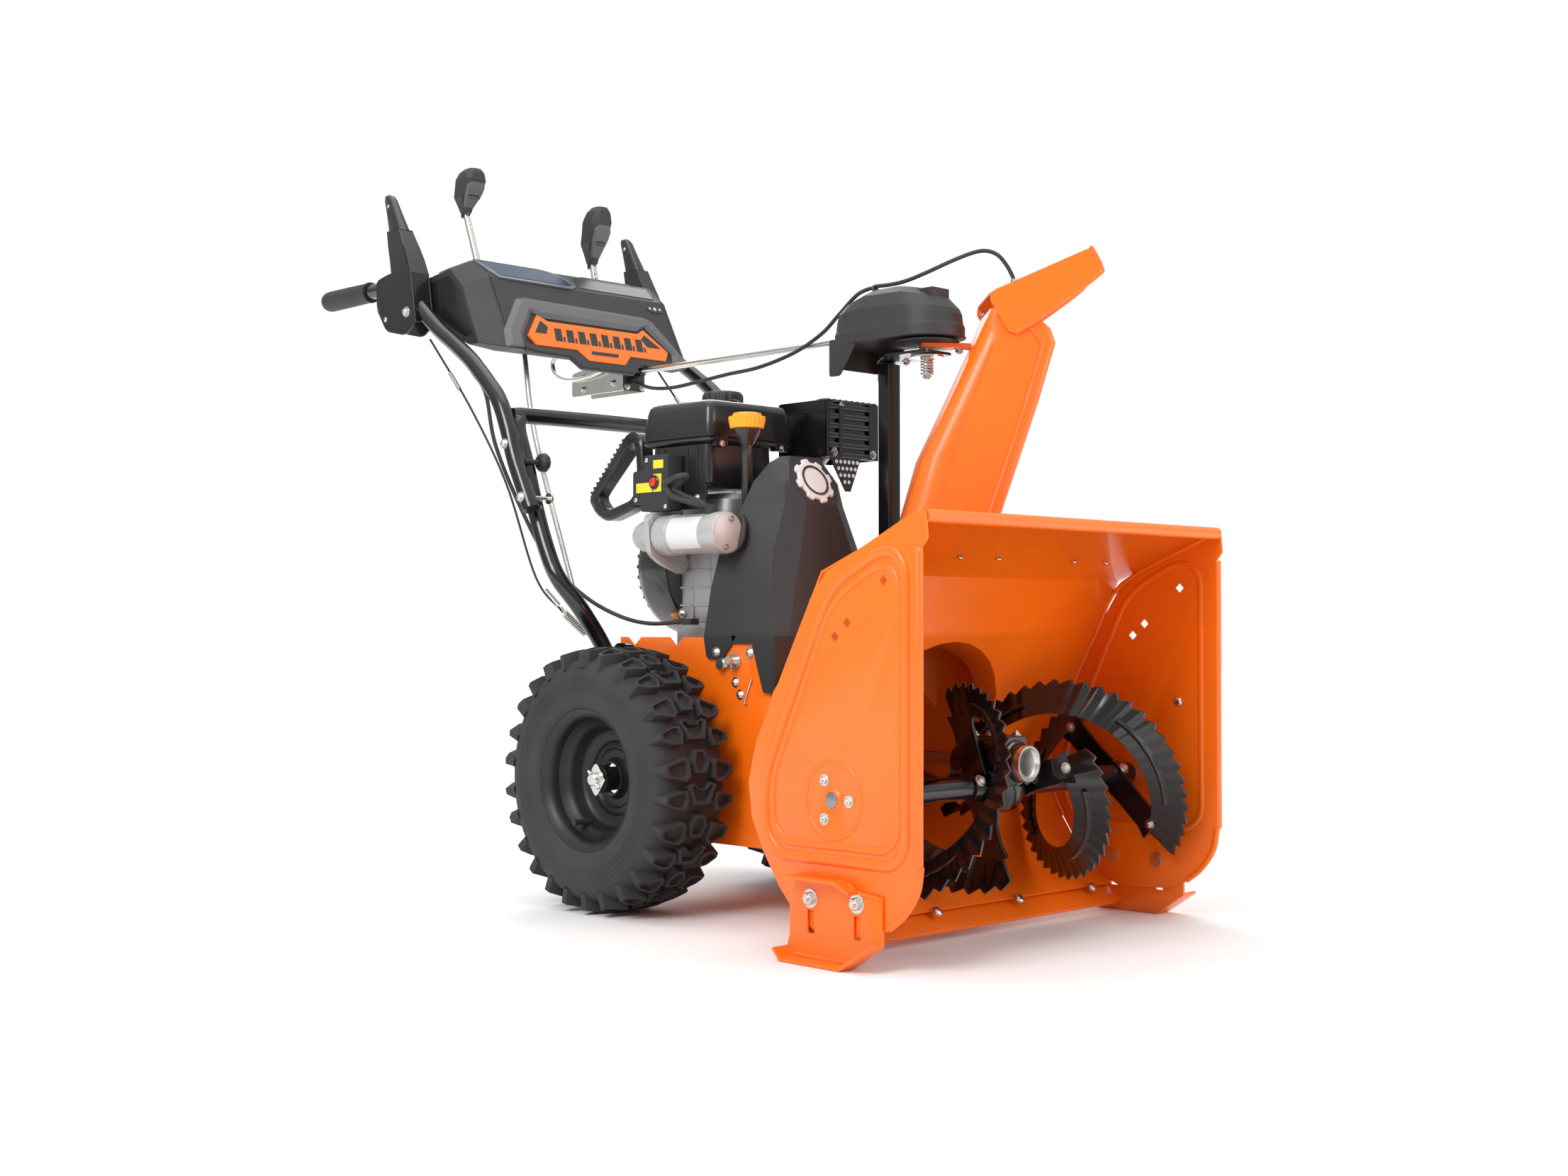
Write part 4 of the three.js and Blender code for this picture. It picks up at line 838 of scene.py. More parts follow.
def make_chute():
    """A hollow bent chute on a round collar, with creases, seams and bolts."""
    body = Shape()
    outer, inner = [], []
    for z, back, front, half in CHUTE_LEVELS:
        outer.append(chute_section(back, front, half, z))
        inner.append(chute_section(back, front, half, z, CHUTE_WALL))
    body.loft(outer + inner[::-1], loop=True)
    collar = [
        (70, 401.3), (79, 401.3), (79, 404.5), (75, 405), (71.5, 408), (71.5, 432), (69.5, 432), (69.5, 405),
    ]
    body.turned(collar, (0, 0, 1), (CHUTE_X, CHUTE_Y, 0), 72)
    for side in (-1, 1):
        crease = [
            chute_spot(u, side * (half - 0.2), z)
            for z, u, half in (
                (440, 36, 66), (560, 79, 62.6), (680, 119, 61), (786, 152, 60), (806, 150, 60),
                (838, 124, 60),
            )
        ]
        body.tube(crease, 2.8, 12, 6)
        seam = [
            chute_spot(u, side * (half + 0.1), z)
            for z, u, half in ((470, -10, 65.4), (560, 4, 62.4), (680, 39, 61), (800, 84, 60))
        ]
        body.tube(seam, 1.2, 10, 6)
    body.make("chute", ORANGE, "chute_body", "orange_paint", ["chute"], bevel=0.5, angle=30)
    bolts = Shape()
    for u in (0, -40):
        for side in (-1, 1):
            bolts.bolt(chute_spot(u, side * 66.2, 424), chute_spot(0, side, 0) - chute_spot(0, 0, 0), 5)
    bolts.make("chute_bolts", ZINC, "chute_body", "zinc", bevel=0.3)


DEFLECTOR_SIDE = [
    (83, 872), (224, 935), (238, 906), (231, 892), (152, 834), (116, 812), (106, 816), (80, 860),
]


def make_deflector():
    """A hood open below: two cheeks, a ribbed top and rolled lips."""
    hood = Shape()
    for side in (-1, 1):
        a, b = side * 63.2, side * 65.6
        rings = [[chute_spot(u, s, z) for u, z in soft(DEFLECTOR_SIDE, 9, 4)] for s in (a, b)]
        hood.loft(rings)
        lip = [(224, 934), (238, 906), (231, 892), (152, 834), (116, 812)]
        hood.tube([chute_spot(u - 0.6, side * 64.2, z + 0.8) for u, z in lip], 2.6, 12, 4)
    top = []
    for u, z in ((82, 871.5), (116, 886.6), (152, 902.8), (190, 919.8), (224, 935)):
        half = 65.6
        row = []
        for s, drop in (
            (-half, -4.5), (-half + 2, -1.4), (-half + 5, 0), (0, 0.4), (half - 5, 0), (half - 2, -1.4),
            (half, -4.5),
        ):
            row.append(chute_spot(u, s, z + drop))
        for s, drop in ((half - 3, -4.5), (half - 6, -3.2), (0, -2.8), (6 - half, -3.2), (3 - half, -4.5)):
            row.append(chute_spot(u, s, z + drop))
        top.append(row)
    hood.loft(top)
    hood.tube([chute_spot(223.5, s, 933.5) for s in (-63, 0, 63)], 3.2, 14, 2)
    for s in (-34, 34):
        hood.tube(
            [chute_spot(u, s, z - 0.6) for u, z in ((100, 880), (160, 906.6), (214, 930.6))], 2.2, 12, 3,
        )
    hood.make("deflector", ORANGE, "deflector_body", "orange_paint", ["deflector"], bevel=0.45, angle=32)
    pins = Shape()
    for side in (-1, 1):
        out = chute_spot(0, -side, 0) - chute_spot(0, 0, 0)
        pins.bolt(chute_spot(92, side * 62.6, 858), out, 5)
    pins.rod((183, -410, 889), (181.4, -408.4, 901), 4.6, sides=20)
    pins.rod((184, -411, 886), (183, -410, 890), 7.5, sides=6)
    pins.make("deflector_fittings", ZINC, "deflector_body", "zinc", bevel=0.3)


make_chute()
make_deflector()


def make_turning_gear():
    """Ring and arm below the gear cover that turn the chute, with a sprung bolt at the centre."""
    arm = Shape()
    outline = rounded([(-10, -16), (30, -16), (62, -13), (62, 13), (30, 16), (-10, 16)], 5, 4)
    arm.loft([[chute_spot(u, s, z) for u, s in outline] for z in (800, 806.5)])
    arm.make("chute_arm", ORANGE, "chute_body", "orange_paint", ["chute_arm"], bevel=0.5)
    disc = Shape()
    disc.turned(
        [(5.6, 806.6), (40, 806.6), (46, 807.5), (46, 810), (40, 812), (5.6, 812)], (0, 0, 1),
        (CHUTE_X, CHUTE_Y, 0), 64,
    )
    disc.make("chute_turning_disc", PLASTIC, "chute_body", "black_plastic", bevel=0.4)
    metal = Shape()
    metal.turned([(5, 787), (24, 787), (24, 789.6), (5, 789.6)], (0, 0, 1), (CHUTE_X, CHUTE_Y, 0), 40)
    metal.rod((CHUTE_X, CHUTE_Y, 757.5), (CHUTE_X, CHUTE_Y, 815), 4.8, sides=24)
    metal.bolt((CHUTE_X, CHUTE_Y, 764), (0, 0, -1), 6.5)
    metal.bolt(chute_spot(46, 0, 800), (0, 0, -1), 6)
    metal.make("chute_arm_bolt", ZINC, "chute_body", "zinc", bevel=0.3)
    spring = Shape()
    spring.coil((CHUTE_X, CHUTE_Y, 766), (CHUTE_X, CHUTE_Y, 786), 8.6, 1.3, 5)
    spring.make("chute_arm_spring", ZINC, "chute_body", "zinc")
    plate = Shape()
    outline = rounded([(56, -348), (120, -348), (133, -214), (102, -214), (56, -270)], 10, 5)
    plate.prism(outline, "z", 791, 795)
    plate.make("chute_head_plate", BLACK, "chassis", "black_paint", ["chute_head_plate"], bevel=0.5)
    post = Shape()
    tube = rounded([(98.7, -244.3), (123.3, -244.3), (123.3, -219.7), (98.7, -219.7)], 4.5, 5)
    bore = rounded([(101, -242), (121, -242), (121, -222), (101, -222)], 3, 5)
    wall = ((tube, 354), (tube, 788), (bore, 788), (bore, 354))
    post.loft([[(x, y, z) for x, y in outline] for outline, z in wall], loop=True)
    post.make("chute_post", BLACK, "chassis", "black_paint", ["chute_post"], bevel=0.4)
    trim = Shape()
    for z in (420, 452):
        trim.bolt((111, -219.7, z), (0, 1, 0), 4.6)
    for x, y in ((116, -262), (104, -322)):
        trim.bolt((x, y, 791), (0, 0, -1), 5)
    trim.make("chute_post_bolts", ZINC, "chassis", "zinc", bevel=0.3)


def make_gear_cover():
    """Moulded cover over the chute's worm gear: round front, square rear, a raised spine and side skirts."""
    hood = Shape()

    def outline(scale, z, grow=0.0):
        front = [
            (
                CHUTE_X + (54 + grow) * math.cos(math.radians(a)),
                CHUTE_Y + (54 + grow) * math.sin(math.radians(a)),
            )
            for a in range(-180, 1, 10)
        ]
        rear = [
            (CHUTE_X + 54 + grow, -236), (CHUTE_X + 50 + grow, -200), (CHUTE_X + 44 + grow, -186),
            (CHUTE_X + 34, -183 + grow), (CHUTE_X - 34, -183 + grow), (CHUTE_X - 44 - grow, -186),
            (CHUTE_X - 50 - grow, -200), (CHUTE_X - 54 - grow, -236),
        ]
        cx, cy = CHUTE_X, -262
        return [(lerp(cx, x, scale), lerp(cy, y, scale), z) for x, y in front + rear]

    def sloped(scale, rear, middle, front):
        """A ring whose height changes from the cover's rear to its front."""
        ring = []
        for x, y, _ in outline(scale, 0):
            share = min(1.0, max(0.0, (-183 - y) / 80)) if y > -280 else 1 - (-280 - y) / 100
            ring.append((x, y, lerp(rear if y > -280 else front, middle, share)))
        return ring

    hood.loft(
        [
            outline(1.0, 813.2), outline(1.0, 829), outline(0.975, 834), sloped(0.96, 846, 852, 846),
            sloped(0.93, 858, 864, 853), sloped(0.78, 868, 885, 866), sloped(0.5, 879, 892, 880),
            sloped(0.3, 888, 892.6, 890),
        ]
    )
    hood.block(70, 106, -352, -318, 868, 884)
    for x in (34.6, 139):
        outline_yz = rounded(
            [(-183.4, 768.5), (-204, 768.2), (-218, 788), (-236, 813), (-236, 822), (-183.4, 822)], 4, 4,
        )
        hood.prism([tuple(p) for p in outline_yz], "x", x, x + 2.6)
    hood.prism(soft([(37, 781), (139, 781), (139, 822), (37, 822)], 5, 3), "y", -186, -183.4)
    hood.tube([(x, y, 814.5) for x, y, _ in outline(1.0, 0)[0:27]], 1.6, 10, 1)
    hood.make(
        "chute_gear_cover", PLASTIC, "chassis", "black_plastic", ["chute_gear_cover"], bevel=1.4, angle=14,
    )
    clip = Shape()
    clip.tube(
        [
            (72, -240, 886), (70, -238, 895), (74, -232, 898.5), (82, -230, 898.5), (86, -234, 894),
            (86, -236, 886),
        ],
        2.2, 12, 5,
    )
    clip.make("cable_clip", GLOSS_PLASTIC, "chassis", "black_plastic")
    screws = Shape()
    for x, y, z in ((46, -318, 851), (130, -318, 851), (88, -366, 849)):
        screws.dome((x, y, z), (0, 0, 1), 4.5, 2.4)
    screws.make("gear_cover_screws", ZINC, "chassis", "zinc", bevel=0.3)


make_turning_gear()
make_gear_cover()

# ---------- chute rod ----------
rod = Shape()
rod.rod((ROD_X, -240, ROD_Z), (ROD_X, 395.5, ROD_Z), 4.9, sides=28)
rod.rod((ROD_X, 386, ROD_Z), (ROD_X, 396, ROD_Z), 5, 4.2, sides=28)
rod.make("chute_rod", ZINC, "chute_shaft", "zinc", ["chute_rod"], bevel=0.3)
collars = Shape()
for y0, y1, r in ((300, 312, 9), (326, 340, 8.6), (-178, -168, 8)):
    collars.turned([(5, y0), (r, y0), (r, y1), (5, y1)], (0, 1, 0), (ROD_X, 0, ROD_Z), 28)
collars.make("chute_rod_collars", BLACK, "chute_shaft", "black_paint", bevel=0.6)

# ---------- handles ----------
TUBE_R = 12.6
LOWER_LEG = [
    (125.3 + 20.4, 95, 350), (165, 105, 392), (195, 112, 436), (218, 130, 476), (221, 152, 514),
    (221, 180, 576), (221, 207, 652), (221, 226, 700), (213, 234, 719), (187, 238, 727),
]
UPPER_LEG = [
    (157, 578), (195, 650), (214, 700), (236, 744), (264, 774), (307, 812), (352, 843), (397, 872),
    (450, 912), (490, 942), (522, 953), (560, 955), (640, 955), (722, 955),
]
FOOT = [(56, 326), (104, 326), (104, 366), (92, 380), (70, 380), (56, 366)]


def make_handles():
    """Lower handle loop, two bent upper tubes and their grips."""
    low = Shape()
    path = [(-x, y, z) for x, y, z in LOWER_LEG] + [(x, y, z) for x, y, z in reversed(LOWER_LEG)]
    low.tube(path, TUBE_R, 28, 8)
    for side in (-1, 1):
        low.prism(soft(FOOT, 7, 4), "x", side * 126, side * 138.6)
    low.make("lower_handle", BLACK, "chassis", "black_paint", ["lower_handle"], bevel=0.5, angle=36)
    for name, side in SIDES.items():
        tube = Shape()
        tube.tube([(side * GRIP_X, y, z) for y, z in UPPER_LEG], TUBE_R, 28, 8)
        squash = [(side * GRIP_X, y, z) for y, z in ((157, 578), (176, 614), (195, 650))]
        tube.tube(squash, TUBE_R + 0.05, 28, 4)
        tube.make(
            f"upper_handle_{name}", BLACK, "chassis", "black_paint", [f"upper_handle_{name}"], angle=40,
        )
        grip = Shape()
        grip.turned(grip_profile(), (0, 1, 0), (side * GRIP_X, 0, GRIP_Z), 48)
        grip.make(f"grip_{name}", RUBBER, "chassis", "rubber", [f"grip_{name}"], angle=36)
        make_handle_hardware(name, side)


def grip_profile():
    """Radius and Y along a smooth rubber grip with a lip in front and a rounded end."""
    lip = [(12.7, 594), (17, 594), (17, 597), (15.8, 599)]
    return lip + [(16.2, 606), (16.8, 660), (17, 712), (16.6, 720), (15.2, 725), (12, 727.4), (0, 728)]


def make_handle_hardware(name, side):
    """Bolts and the hand knob that join the tubes of one side."""
    bolts = Shape()
    x_out = side * (GRIP_X + TUBE_R - 0.5)
    bolts.bolt((x_out, 166, 596), (side, 0, 0), 5.5)
    bolts.bolt((x_out, 207, 678), (side, 0, 0), 5.5)
    x_in = side * (GRIP_X - TUBE_R)
    bolts.rod((x_in, 166, 596), (side * 208, 166, 596), 3.2, sides=16)
    bolts.bolt((side * 208, 166, 596), (-side, 0, 0), 6)
    bolts.bolt((x_out, 546, 918), (side, 0, 0), 5)
    bolts.make(f"handle_bolts_{name}", ZINC, "chassis", "zinc", bevel=0.3)
    knob = Shape()
    knob.rod((side * 234, 192, 652), (side * 208, 192, 652), 4, sides=16)
    knob.turned(
        [(0, 0), (8, 0), (13, 3), (15, 8), (15, 12), (11, 16), (0, 17)], (-side, 0, 0),
        (side * 208.5, 192, 652), 10,
    )
    knob.make(f"handle_knob_{name}", PLASTIC, "chassis", "black_plastic", bevel=1.4)


make_handles()


# ---------- drive and auger levers ----------
LEVER_PIVOT_Y, LEVER_PIVOT_Z = 462, 905


def superellipse(x, y, z, half_x, half_y, turn, power=0.6):
    """A point on a rounded-square ring about (x, y, z)."""
    c, s = math.cos(turn), math.sin(turn)
    return x + half_x * math.copysign(abs(c) ** power, c), y + half_y * math.copysign(abs(s) ** power, s), z


def make_lever(name, side):
    """Two cheeks that straddle the handle tube, a hollow neck and a slim, rounded blade."""
    lever = Shape()
    x = side * GRIP_X
    cheek = soft(
        [(436, 886), (452, 970), (508, 974), (552, 966), (549, 919), (521, 880), (466, 868)], 12, 6,
    )
    for a, b in ((15.2, 18), (-18, -15.2)):
        lever.prism(cheek, "x", x + a, x + b)
    lever.loft(
        [
            [(x + a, y + b, z) for a, b in ((-17.5, 0), (17.5, 0), (17.5, 3.4), (-17.5, 3.4))]
            for y, z in ((437, 888), (452, 969))
        ]
    )
    edges = [(452, 507, 968, 18), (464, 512, 992, 17.4), (478, 520, 1017, 15.9), (493, 528, 1044, 13.4)]
    for way in (-1, 1):
        lever.loft(
            [
                [
                    (x + way * w, y0, z), (x + way * w, y1, z), (x + way * (w - 2.7), y1, z),
                    (x + way * (w - 2.7), y0, z),
                ]
                for y0, y1, z, w in edges
            ]
        )
    lever.loft(
        [
            [(x - w, y0, z), (x + w, y0, z), (x + w, y0 + 3.2, z), (x - w, y0 + 3.2, z)]
            for y0, _, z, w in edges
        ]
    )
    rows = []
    for y0, y1, z, w in (
        (492, 527.5, 1042, 13.4), (498, 531, 1053, 12.2), (512, 538, 1076, 10.4), (524, 545, 1097, 9),
        (530, 546, 1104.6, 7), (533, 543, 1106.6, 4),
    ):
        cy, half = (y0 + y1) / 2, (y1 - y0) / 2
        rows.append([superellipse(x, cy, z, w, half, 2 * math.pi * k / 24) for k in range(24)])
    lever.loft(rows)
    lever.make(
        f"clutch_lever_{name}", BLACK, f"clutch_{name}", "black_paint", [f"clutch_lever_{name}"], bevel=0.8,
        angle=34,
    )
    metal = Shape()
    metal.rod((x - 19, LEVER_PIVOT_Y, LEVER_PIVOT_Z), (x + 19, LEVER_PIVOT_Y, LEVER_PIVOT_Z), 4.4, sides=24)
    for out in (-1, 1):
        metal.bolt((x + out * 18, LEVER_PIVOT_Y, LEVER_PIVOT_Z), (out, 0, 0), 6)
        metal.dome((x + out * 18, 523, 900), (out, 0, 0), 4.2, 2)
        metal.dome((x + out * 9.2, 530, 1086), (out, 0, 0), 3.2, 1.4)
    metal.make(f"clutch_lever_{name}_pins", ZINC, f"clutch_{name}", "zinc", bevel=0.3)


for side_name, side_sign in SIDES.items():
    make_lever(side_name, side_sign)

# ---------- dash panel ----------
DASH_RIGHT, DASH_LEFT = -182, 175
DASH_OUT = [(330, 837), (292, 839), (352, 958), (391, 989), (444, 984), (497, 978), (497, 930)]
DASH_IN = [
    (493.6, 930), (493.6, 974.8), (444, 980.6), (392.3, 985.4), (354.6, 955.4), (297.4, 842.4), (330, 840.4),
]
DASH_FACE = [(292, 839), (352, 958), (391, 989), (497, 978), (497, 930), (372, 850), (330, 837)]


def on_front(x, z, out=0.0):
    """A point on the dash's large front face, or out millimetres off it."""
    return Vector((x, 292 + (z - 839) * 60 / 119 - 0.893 * out, z + 0.45 * out))


def on_strip(x, share, out=0.0):
    """A point on the narrow strip above the front face; share runs from its lower edge to its upper."""
    return Vector((x, lerp(352, 391, share) - 0.622 * out, lerp(958, 989, share) + 0.783 * out))


def dash_top(y):
    """Height of the dash's sloping top."""
    return 984 - (y - 444) * 6 / 53


def face_block(shape, outline, low, high, shrink=0.0, spot=on_front):
    """A raised block on a dash face, with its edges drawn in by shrink at the top."""
    cx = sum(p[0] for p in outline) / len(outline)
    cz = sum(p[1] for p in outline) / len(outline)
    top = []
    for x, z in outline:
        away = Vector((cx - x, cz - z))
        step = min(shrink, away.length * 0.5)
        away.normalize()
        top.append(spot(x + away.x * step, z + away.y * step, high))
    shape.loft([[spot(x, z, low) for x, z in outline], top])


def make_dash():
    """The dash shell with its end caps, corner facet and lever slots."""
    shell = Shape()
    shell.prism(DASH_OUT + DASH_IN, "x", DASH_RIGHT, DASH_LEFT)
    for x in (DASH_RIGHT, DASH_LEFT - 2.6):
        shell.prism(inset(DASH_FACE, 2), "x", x, x + 2.6)
    shell.make("dash_panel", PLASTIC, "chassis", "black_plastic", ["dash_panel"], bevel=1.6, angle=24)
    ends = Shape()
    right = [
        (DASH_RIGHT - 0.9, DASH_FACE), (DASH_RIGHT - 6, DASH_FACE),
        (-223.5, [(326, 846), (370, 940), (404, 972), (486, 962), (488, 926), (392, 862), (352, 846)]),
    ]
    left = [
        (DASH_LEFT + 0.9, DASH_FACE), (DASH_LEFT + 4, DASH_FACE),
        (189.5, [(304, 846), (358, 948), (396, 980), (490, 970), (490, 930), (376, 858), (336, 842)]),
    ]
    for rows in (right, left):
        ends.loft([[(x, y, z) for y, z in outline] for x, outline in rows])
    ends.make("dash_end_caps", PLASTIC, "chassis", "black_plastic", bevel=1.6, angle=18)
    panels = Shape()
    inner = [(338, 862), (374, 934), (406, 963), (478, 955), (480, 930), (396, 874), (360, 858)]
    panels.prism(inner, "x", -224, -222.6)
    panels.make("dash_end_panel", GLOSS_PLASTIC, "chassis", "black_plastic", bevel=0.6)
    facet = Shape()
    facet.loft(
        [
            [(-190, 392.5, 987.6), (-220, 405, 973.4), (-220, 440, 969.6), (-190, 444, 984)],
            [(-190, 393.5, 989), (-220, 406, 975.2), (-220, 440, 971.4), (-190, 444, 985.6)],
        ]
    )
    facet.make("dash_corner_facet", LIGHT_PLASTIC, "chassis", "black_plastic", bevel=0.4)
    seats = Shape()
    for x0, x1, y0, y1, border in ((-126, -94, 457, 499, 2.2), (32, 144, 396, 460, 5)):
        ring = soft([(x0, y0), (x1, y0), (x1, y1), (x0, y1)], 7, 5)
        hole = soft(
            [(x0 + 5, y0 + border), (x1 - 5, y0 + border), (x1 - 5, y1 - border), (x0 + 5, y1 - border)], 4,
            5,
        )
        rows = [
            [(x, y, dash_top(y) + h) for x, y in o]
            for o, h in ((ring, -0.5), (ring, 2.0), (hole, 2.6), (hole, -0.5))
        ]
        seats.loft(rows, loop=True)
    seats.make("dash_slot_frames", LIGHT_PLASTIC, "chassis", "black_plastic", bevel=0.4)
    seals = Shape()
    for x0, x1, y0, y1 in ((-122, -98, 460, 490), (36, 140, 400, 456)):
        seals.loft(
            [
                [(x, y, dash_top(y) + h) for x, y in ((x0, y0), (x1, y0), (x1, y1), (x0, y1))]
                for h in (-0.4, 0.9)
            ]
        )
    seals.make("dash_slot_seals", RUBBER, "chassis", "rubber", bevel=0.3)


BADGE = [
    (-148, 862), (-118, 899), (-100, 890), (88, 890), (104, 899), (144, 862), (132, 846), (56, 846),
    (38, 829), (-38, 829), (-56, 846), (-136, 846),
]


def make_badge():
    """Raised band round the front badge, and the badge with plain slanted bars."""
    band = Shape()
    ridge = []
    for low, high in (
        ((-196, 840), (-158, 841)), ((-190, 868), (-156, 862)), ((-146, 926), (-124, 904)),
        ((-128, 930), (-103, 896)), ((118, 926), (91, 896)), ((136, 920), (110, 905)),
        ((186, 846), (152, 861)), ((178, 840), (146, 841)),
    ):
        (x0, z0), (x1, z1) = low, high
        ridge.append(
            [
                on_front(x0, z0, -0.5), on_front(lerp(x0, x1, 0.28), lerp(z0, z1, 0.28), 6.0),
                on_front(lerp(x0, x1, 0.78), lerp(z0, z1, 0.78), 6.6), on_front(x1, z1, 2.2),
                on_front(x1, z1, -0.5),
            ]
        )
    band.loft(ridge)
    band.make("dash_front_band", LIGHT_PLASTIC, "chassis", "black_plastic", bevel=0.8, angle=20)
    under = Shape()
    rows = []
    for x, top, low in (
        (-158, 848, 839), (-138, 848, 836), (-72, 848, 834), (-54, 848, 818), (54, 848, 818),
        (72, 848, 834), (138, 848, 836), (150, 848, 839),
    ):
        rows.append(
            [
                on_front(x, top, -0.5), on_front(x, top, 3.2), on_front(x, low, 4.6),
                on_front(x, low - 1, 1.5), on_front(x, low, -5),
            ]
        )
    under.loft(rows)
    under.make("dash_front_lower_band", PLASTIC, "chassis", "black_plastic", bevel=0.6, angle=20)
    plate = Shape()
    face_block(plate, BADGE, 1.0, 5.2, 1.4)
    plate.make("dash_badge", ORANGE, "chassis", "orange_paint", bevel=0.7, angle=24)
    inlay = Shape()
    low, high = 4.8, 5.6
    face_block(inlay, [(-133, 867), (-115, 889), (-103, 880), (-110, 867)], low, high)
    face_block(inlay, [(129, 867), (101, 889), (91, 880), (99, 867)], low, high)
    for i in range(8):
        x = -95 + i * 24
        face_block(inlay, [(x, 857), (x + 4, 879), (x + 18, 879), (x + 14, 857)], low, high)
        face_block(inlay, [(x + 16, 857), (x + 17.5, 866), (x + 21.5, 866), (x + 20, 857)], low, high)
    face_block(inlay, [(-30, 841), (-26, 847), (30, 847), (26, 841)], low, high)
    inlay.make("dash_badge_inlay", BLACK, "chassis", "black_plastic", bevel=0.2)


LENS_OUT = [
    (-186, 0.98), (-168, 0.34), (-160, 0.12), (-26, 0.08), (-14, 0.2), (-20, 0.5), (-44, 0.86), (-60, 0.98),
]


def make_lamp():
    """Strip above the front face: a dark lens over four lamps on the right, a plain strip on the left."""
    frame_piece = Shape()
    outer = [
        (-190, 1.0), (-176, 0.3), (-166, -0.02), (-22, -0.05), (-8, 0.12), (-14, 0.52), (-38, 0.92),
        (-56, 1.0),
    ]
    rows = [
        [on_strip(x, s, -0.4) for x, s in outer], [on_strip(x, s, 2.4) for x, s in outer],
        [on_strip(x, s, 2.4) for x, s in LENS_OUT], [on_strip(x, s, -0.4) for x, s in LENS_OUT],
    ]
    frame_piece.loft(rows, loop=True)
    frame_piece.make("lamp_frame", LIGHT_PLASTIC, "chassis", "black_plastic", bevel=0.4)
    cover = Shape()
    cover.loft(
        [
            [on_strip(x, s, 1.0) for x, s in LENS_OUT],
            [on_strip(x * 0.985 - 1.5, lerp(0.5, s, 0.9), 2.6) for x, s in LENS_OUT],
        ]
    )
    cover.make("lamp_lens", LENS, "chassis", "black_plastic", bevel=0.3)
    lamps = Shape()
    normal = Vector((0, -0.622, 0.783))
    for x, r in ((-140, 9), (-112, 10), (-84, 9), (-56, 8)):
        lamps.turned(
            [(0, -0.2), (r, -0.2), (r, 0.9), (r - 2, 0.9), (r - 4, 0.3), (2, 0.3), (1.6, 1.0), (0, 1.0)],
            normal, on_strip(x, 0.5), 28,
        )
    lamps.make("lamp_modules", LED, "chassis", "steel")
    strip = Shape()
    face_block(strip, [(-2, 0.16), (8, 0.84), (166, 0.84), (160, 0.16)], -0.3, 0.9, 0.0, on_strip)
    strip.make("dash_blank_strip", GLOSS_PLASTIC, "chassis", "black_plastic", bevel=0.3)
    oval = Shape()
    points = circle(0, 0, 1, 32)
    oval.loft([[on_front(152 + a * 19, 944 + b * 7.5, h) for a, b in points] for h in (-0.4, 1.2)])
    oval.make("dash_indicator", GLOSS_PLASTIC, "chassis", "black_plastic", bevel=0.4)
    dots = Shape()
    for x, r in ((141, 2.4), (152, 3.4), (163, 2.4)):
        dots.dome(on_front(x, 944, 1.0), (0, -0.893, 0.45), r, 1.4)
    dots.make("dash_indicator_dots", ZINC, "chassis", "zinc")


def make_rod_bracket():
    """Bracket below the dash that carries the chute rod and guides a cable."""
    cheek = rounded(
        [(322, 797), (461, 797), (461, 836), (404, 846), (368, 846), (340, 925), (300, 848), (322, 838)], 6,
        3,
    )
    bracket = Shape()
    for x in (ROD_X - 22, ROD_X + 19):
        bracket.prism([tuple(p) for p in cheek], "x", x, x + 3)
    bracket.make("rod_bracket", ZINC, "chassis", "zinc", bevel=0.4)
    front = Shape()
    front.prism(soft([(66, 797), (110, 797), (110, 842), (66, 842)], 4, 3), "y", 321, 325)
    front.turned([(6, 0), (11, 0), (11, 5), (9, 7), (6, 7)], (0, -1, 0), (ROD_X, 321.5, ROD_Z), 32)
    front.rod((80, 320, 815), (80, 300, 814), 4.6, 3.8, 20)
    front.make("rod_bracket_front", PLASTIC, "chassis", "black_plastic", bevel=0.6)
    bolts = Shape()
    for x, z in ((72, 804), (104, 804), (104, 835)):
        bolts.bolt((x, 321, z), (0, -1, 0), 4)
    for y, z in ((430, 808), (350, 812), (430, 828)):
        bolts.bolt((66, y, z), (-1, 0, 0), 4.5)
    bolts.make("rod_bracket_bolts", ZINC, "chassis", "zinc", bevel=0.3)
    loop = Shape()
    loop.tube(
        [
            (60, 340, 852), (60, 372, 834), (60, 420, 826), (60, 470, 828), (60, 500, 842), (60, 506, 862),
            (60, 480, 874),
        ],
        3.6, 14, 8,
    )
    loop.make("cable_guide_loop", ZINC, "chassis", "zinc")


# sections of a lever knob: (share of its height, lean forward, half width, half depth)
KNOB_ROWS = [
    (0.0, 0, 8.5, 8.5), (0.1, 0.5, 10, 11), (0.27, -1, 15, 17), (0.34, -3, 18.6, 20),
    (0.58, -10, 20.6, 21.6), (0.74, -14, 21.8, 22.6), (0.9, -18, 18, 19), (1.0, -21, 11, 12),
]


def knob_section(x, y, z, half_w, half_d, cut=0.42):
    """An eight-sided section of a knob."""
    w, d, k = half_w, half_d, 1 - cut
    return [(x - w, y - d * k, z), (x - w * k, y - d, z), (x + w * k, y - d, z), (x + w, y - d * k, z),
            (x + w, y + d * k, z), (x + w * k, y + d, z), (x - w * k, y + d, z), (x - w, y + d * k, z)]


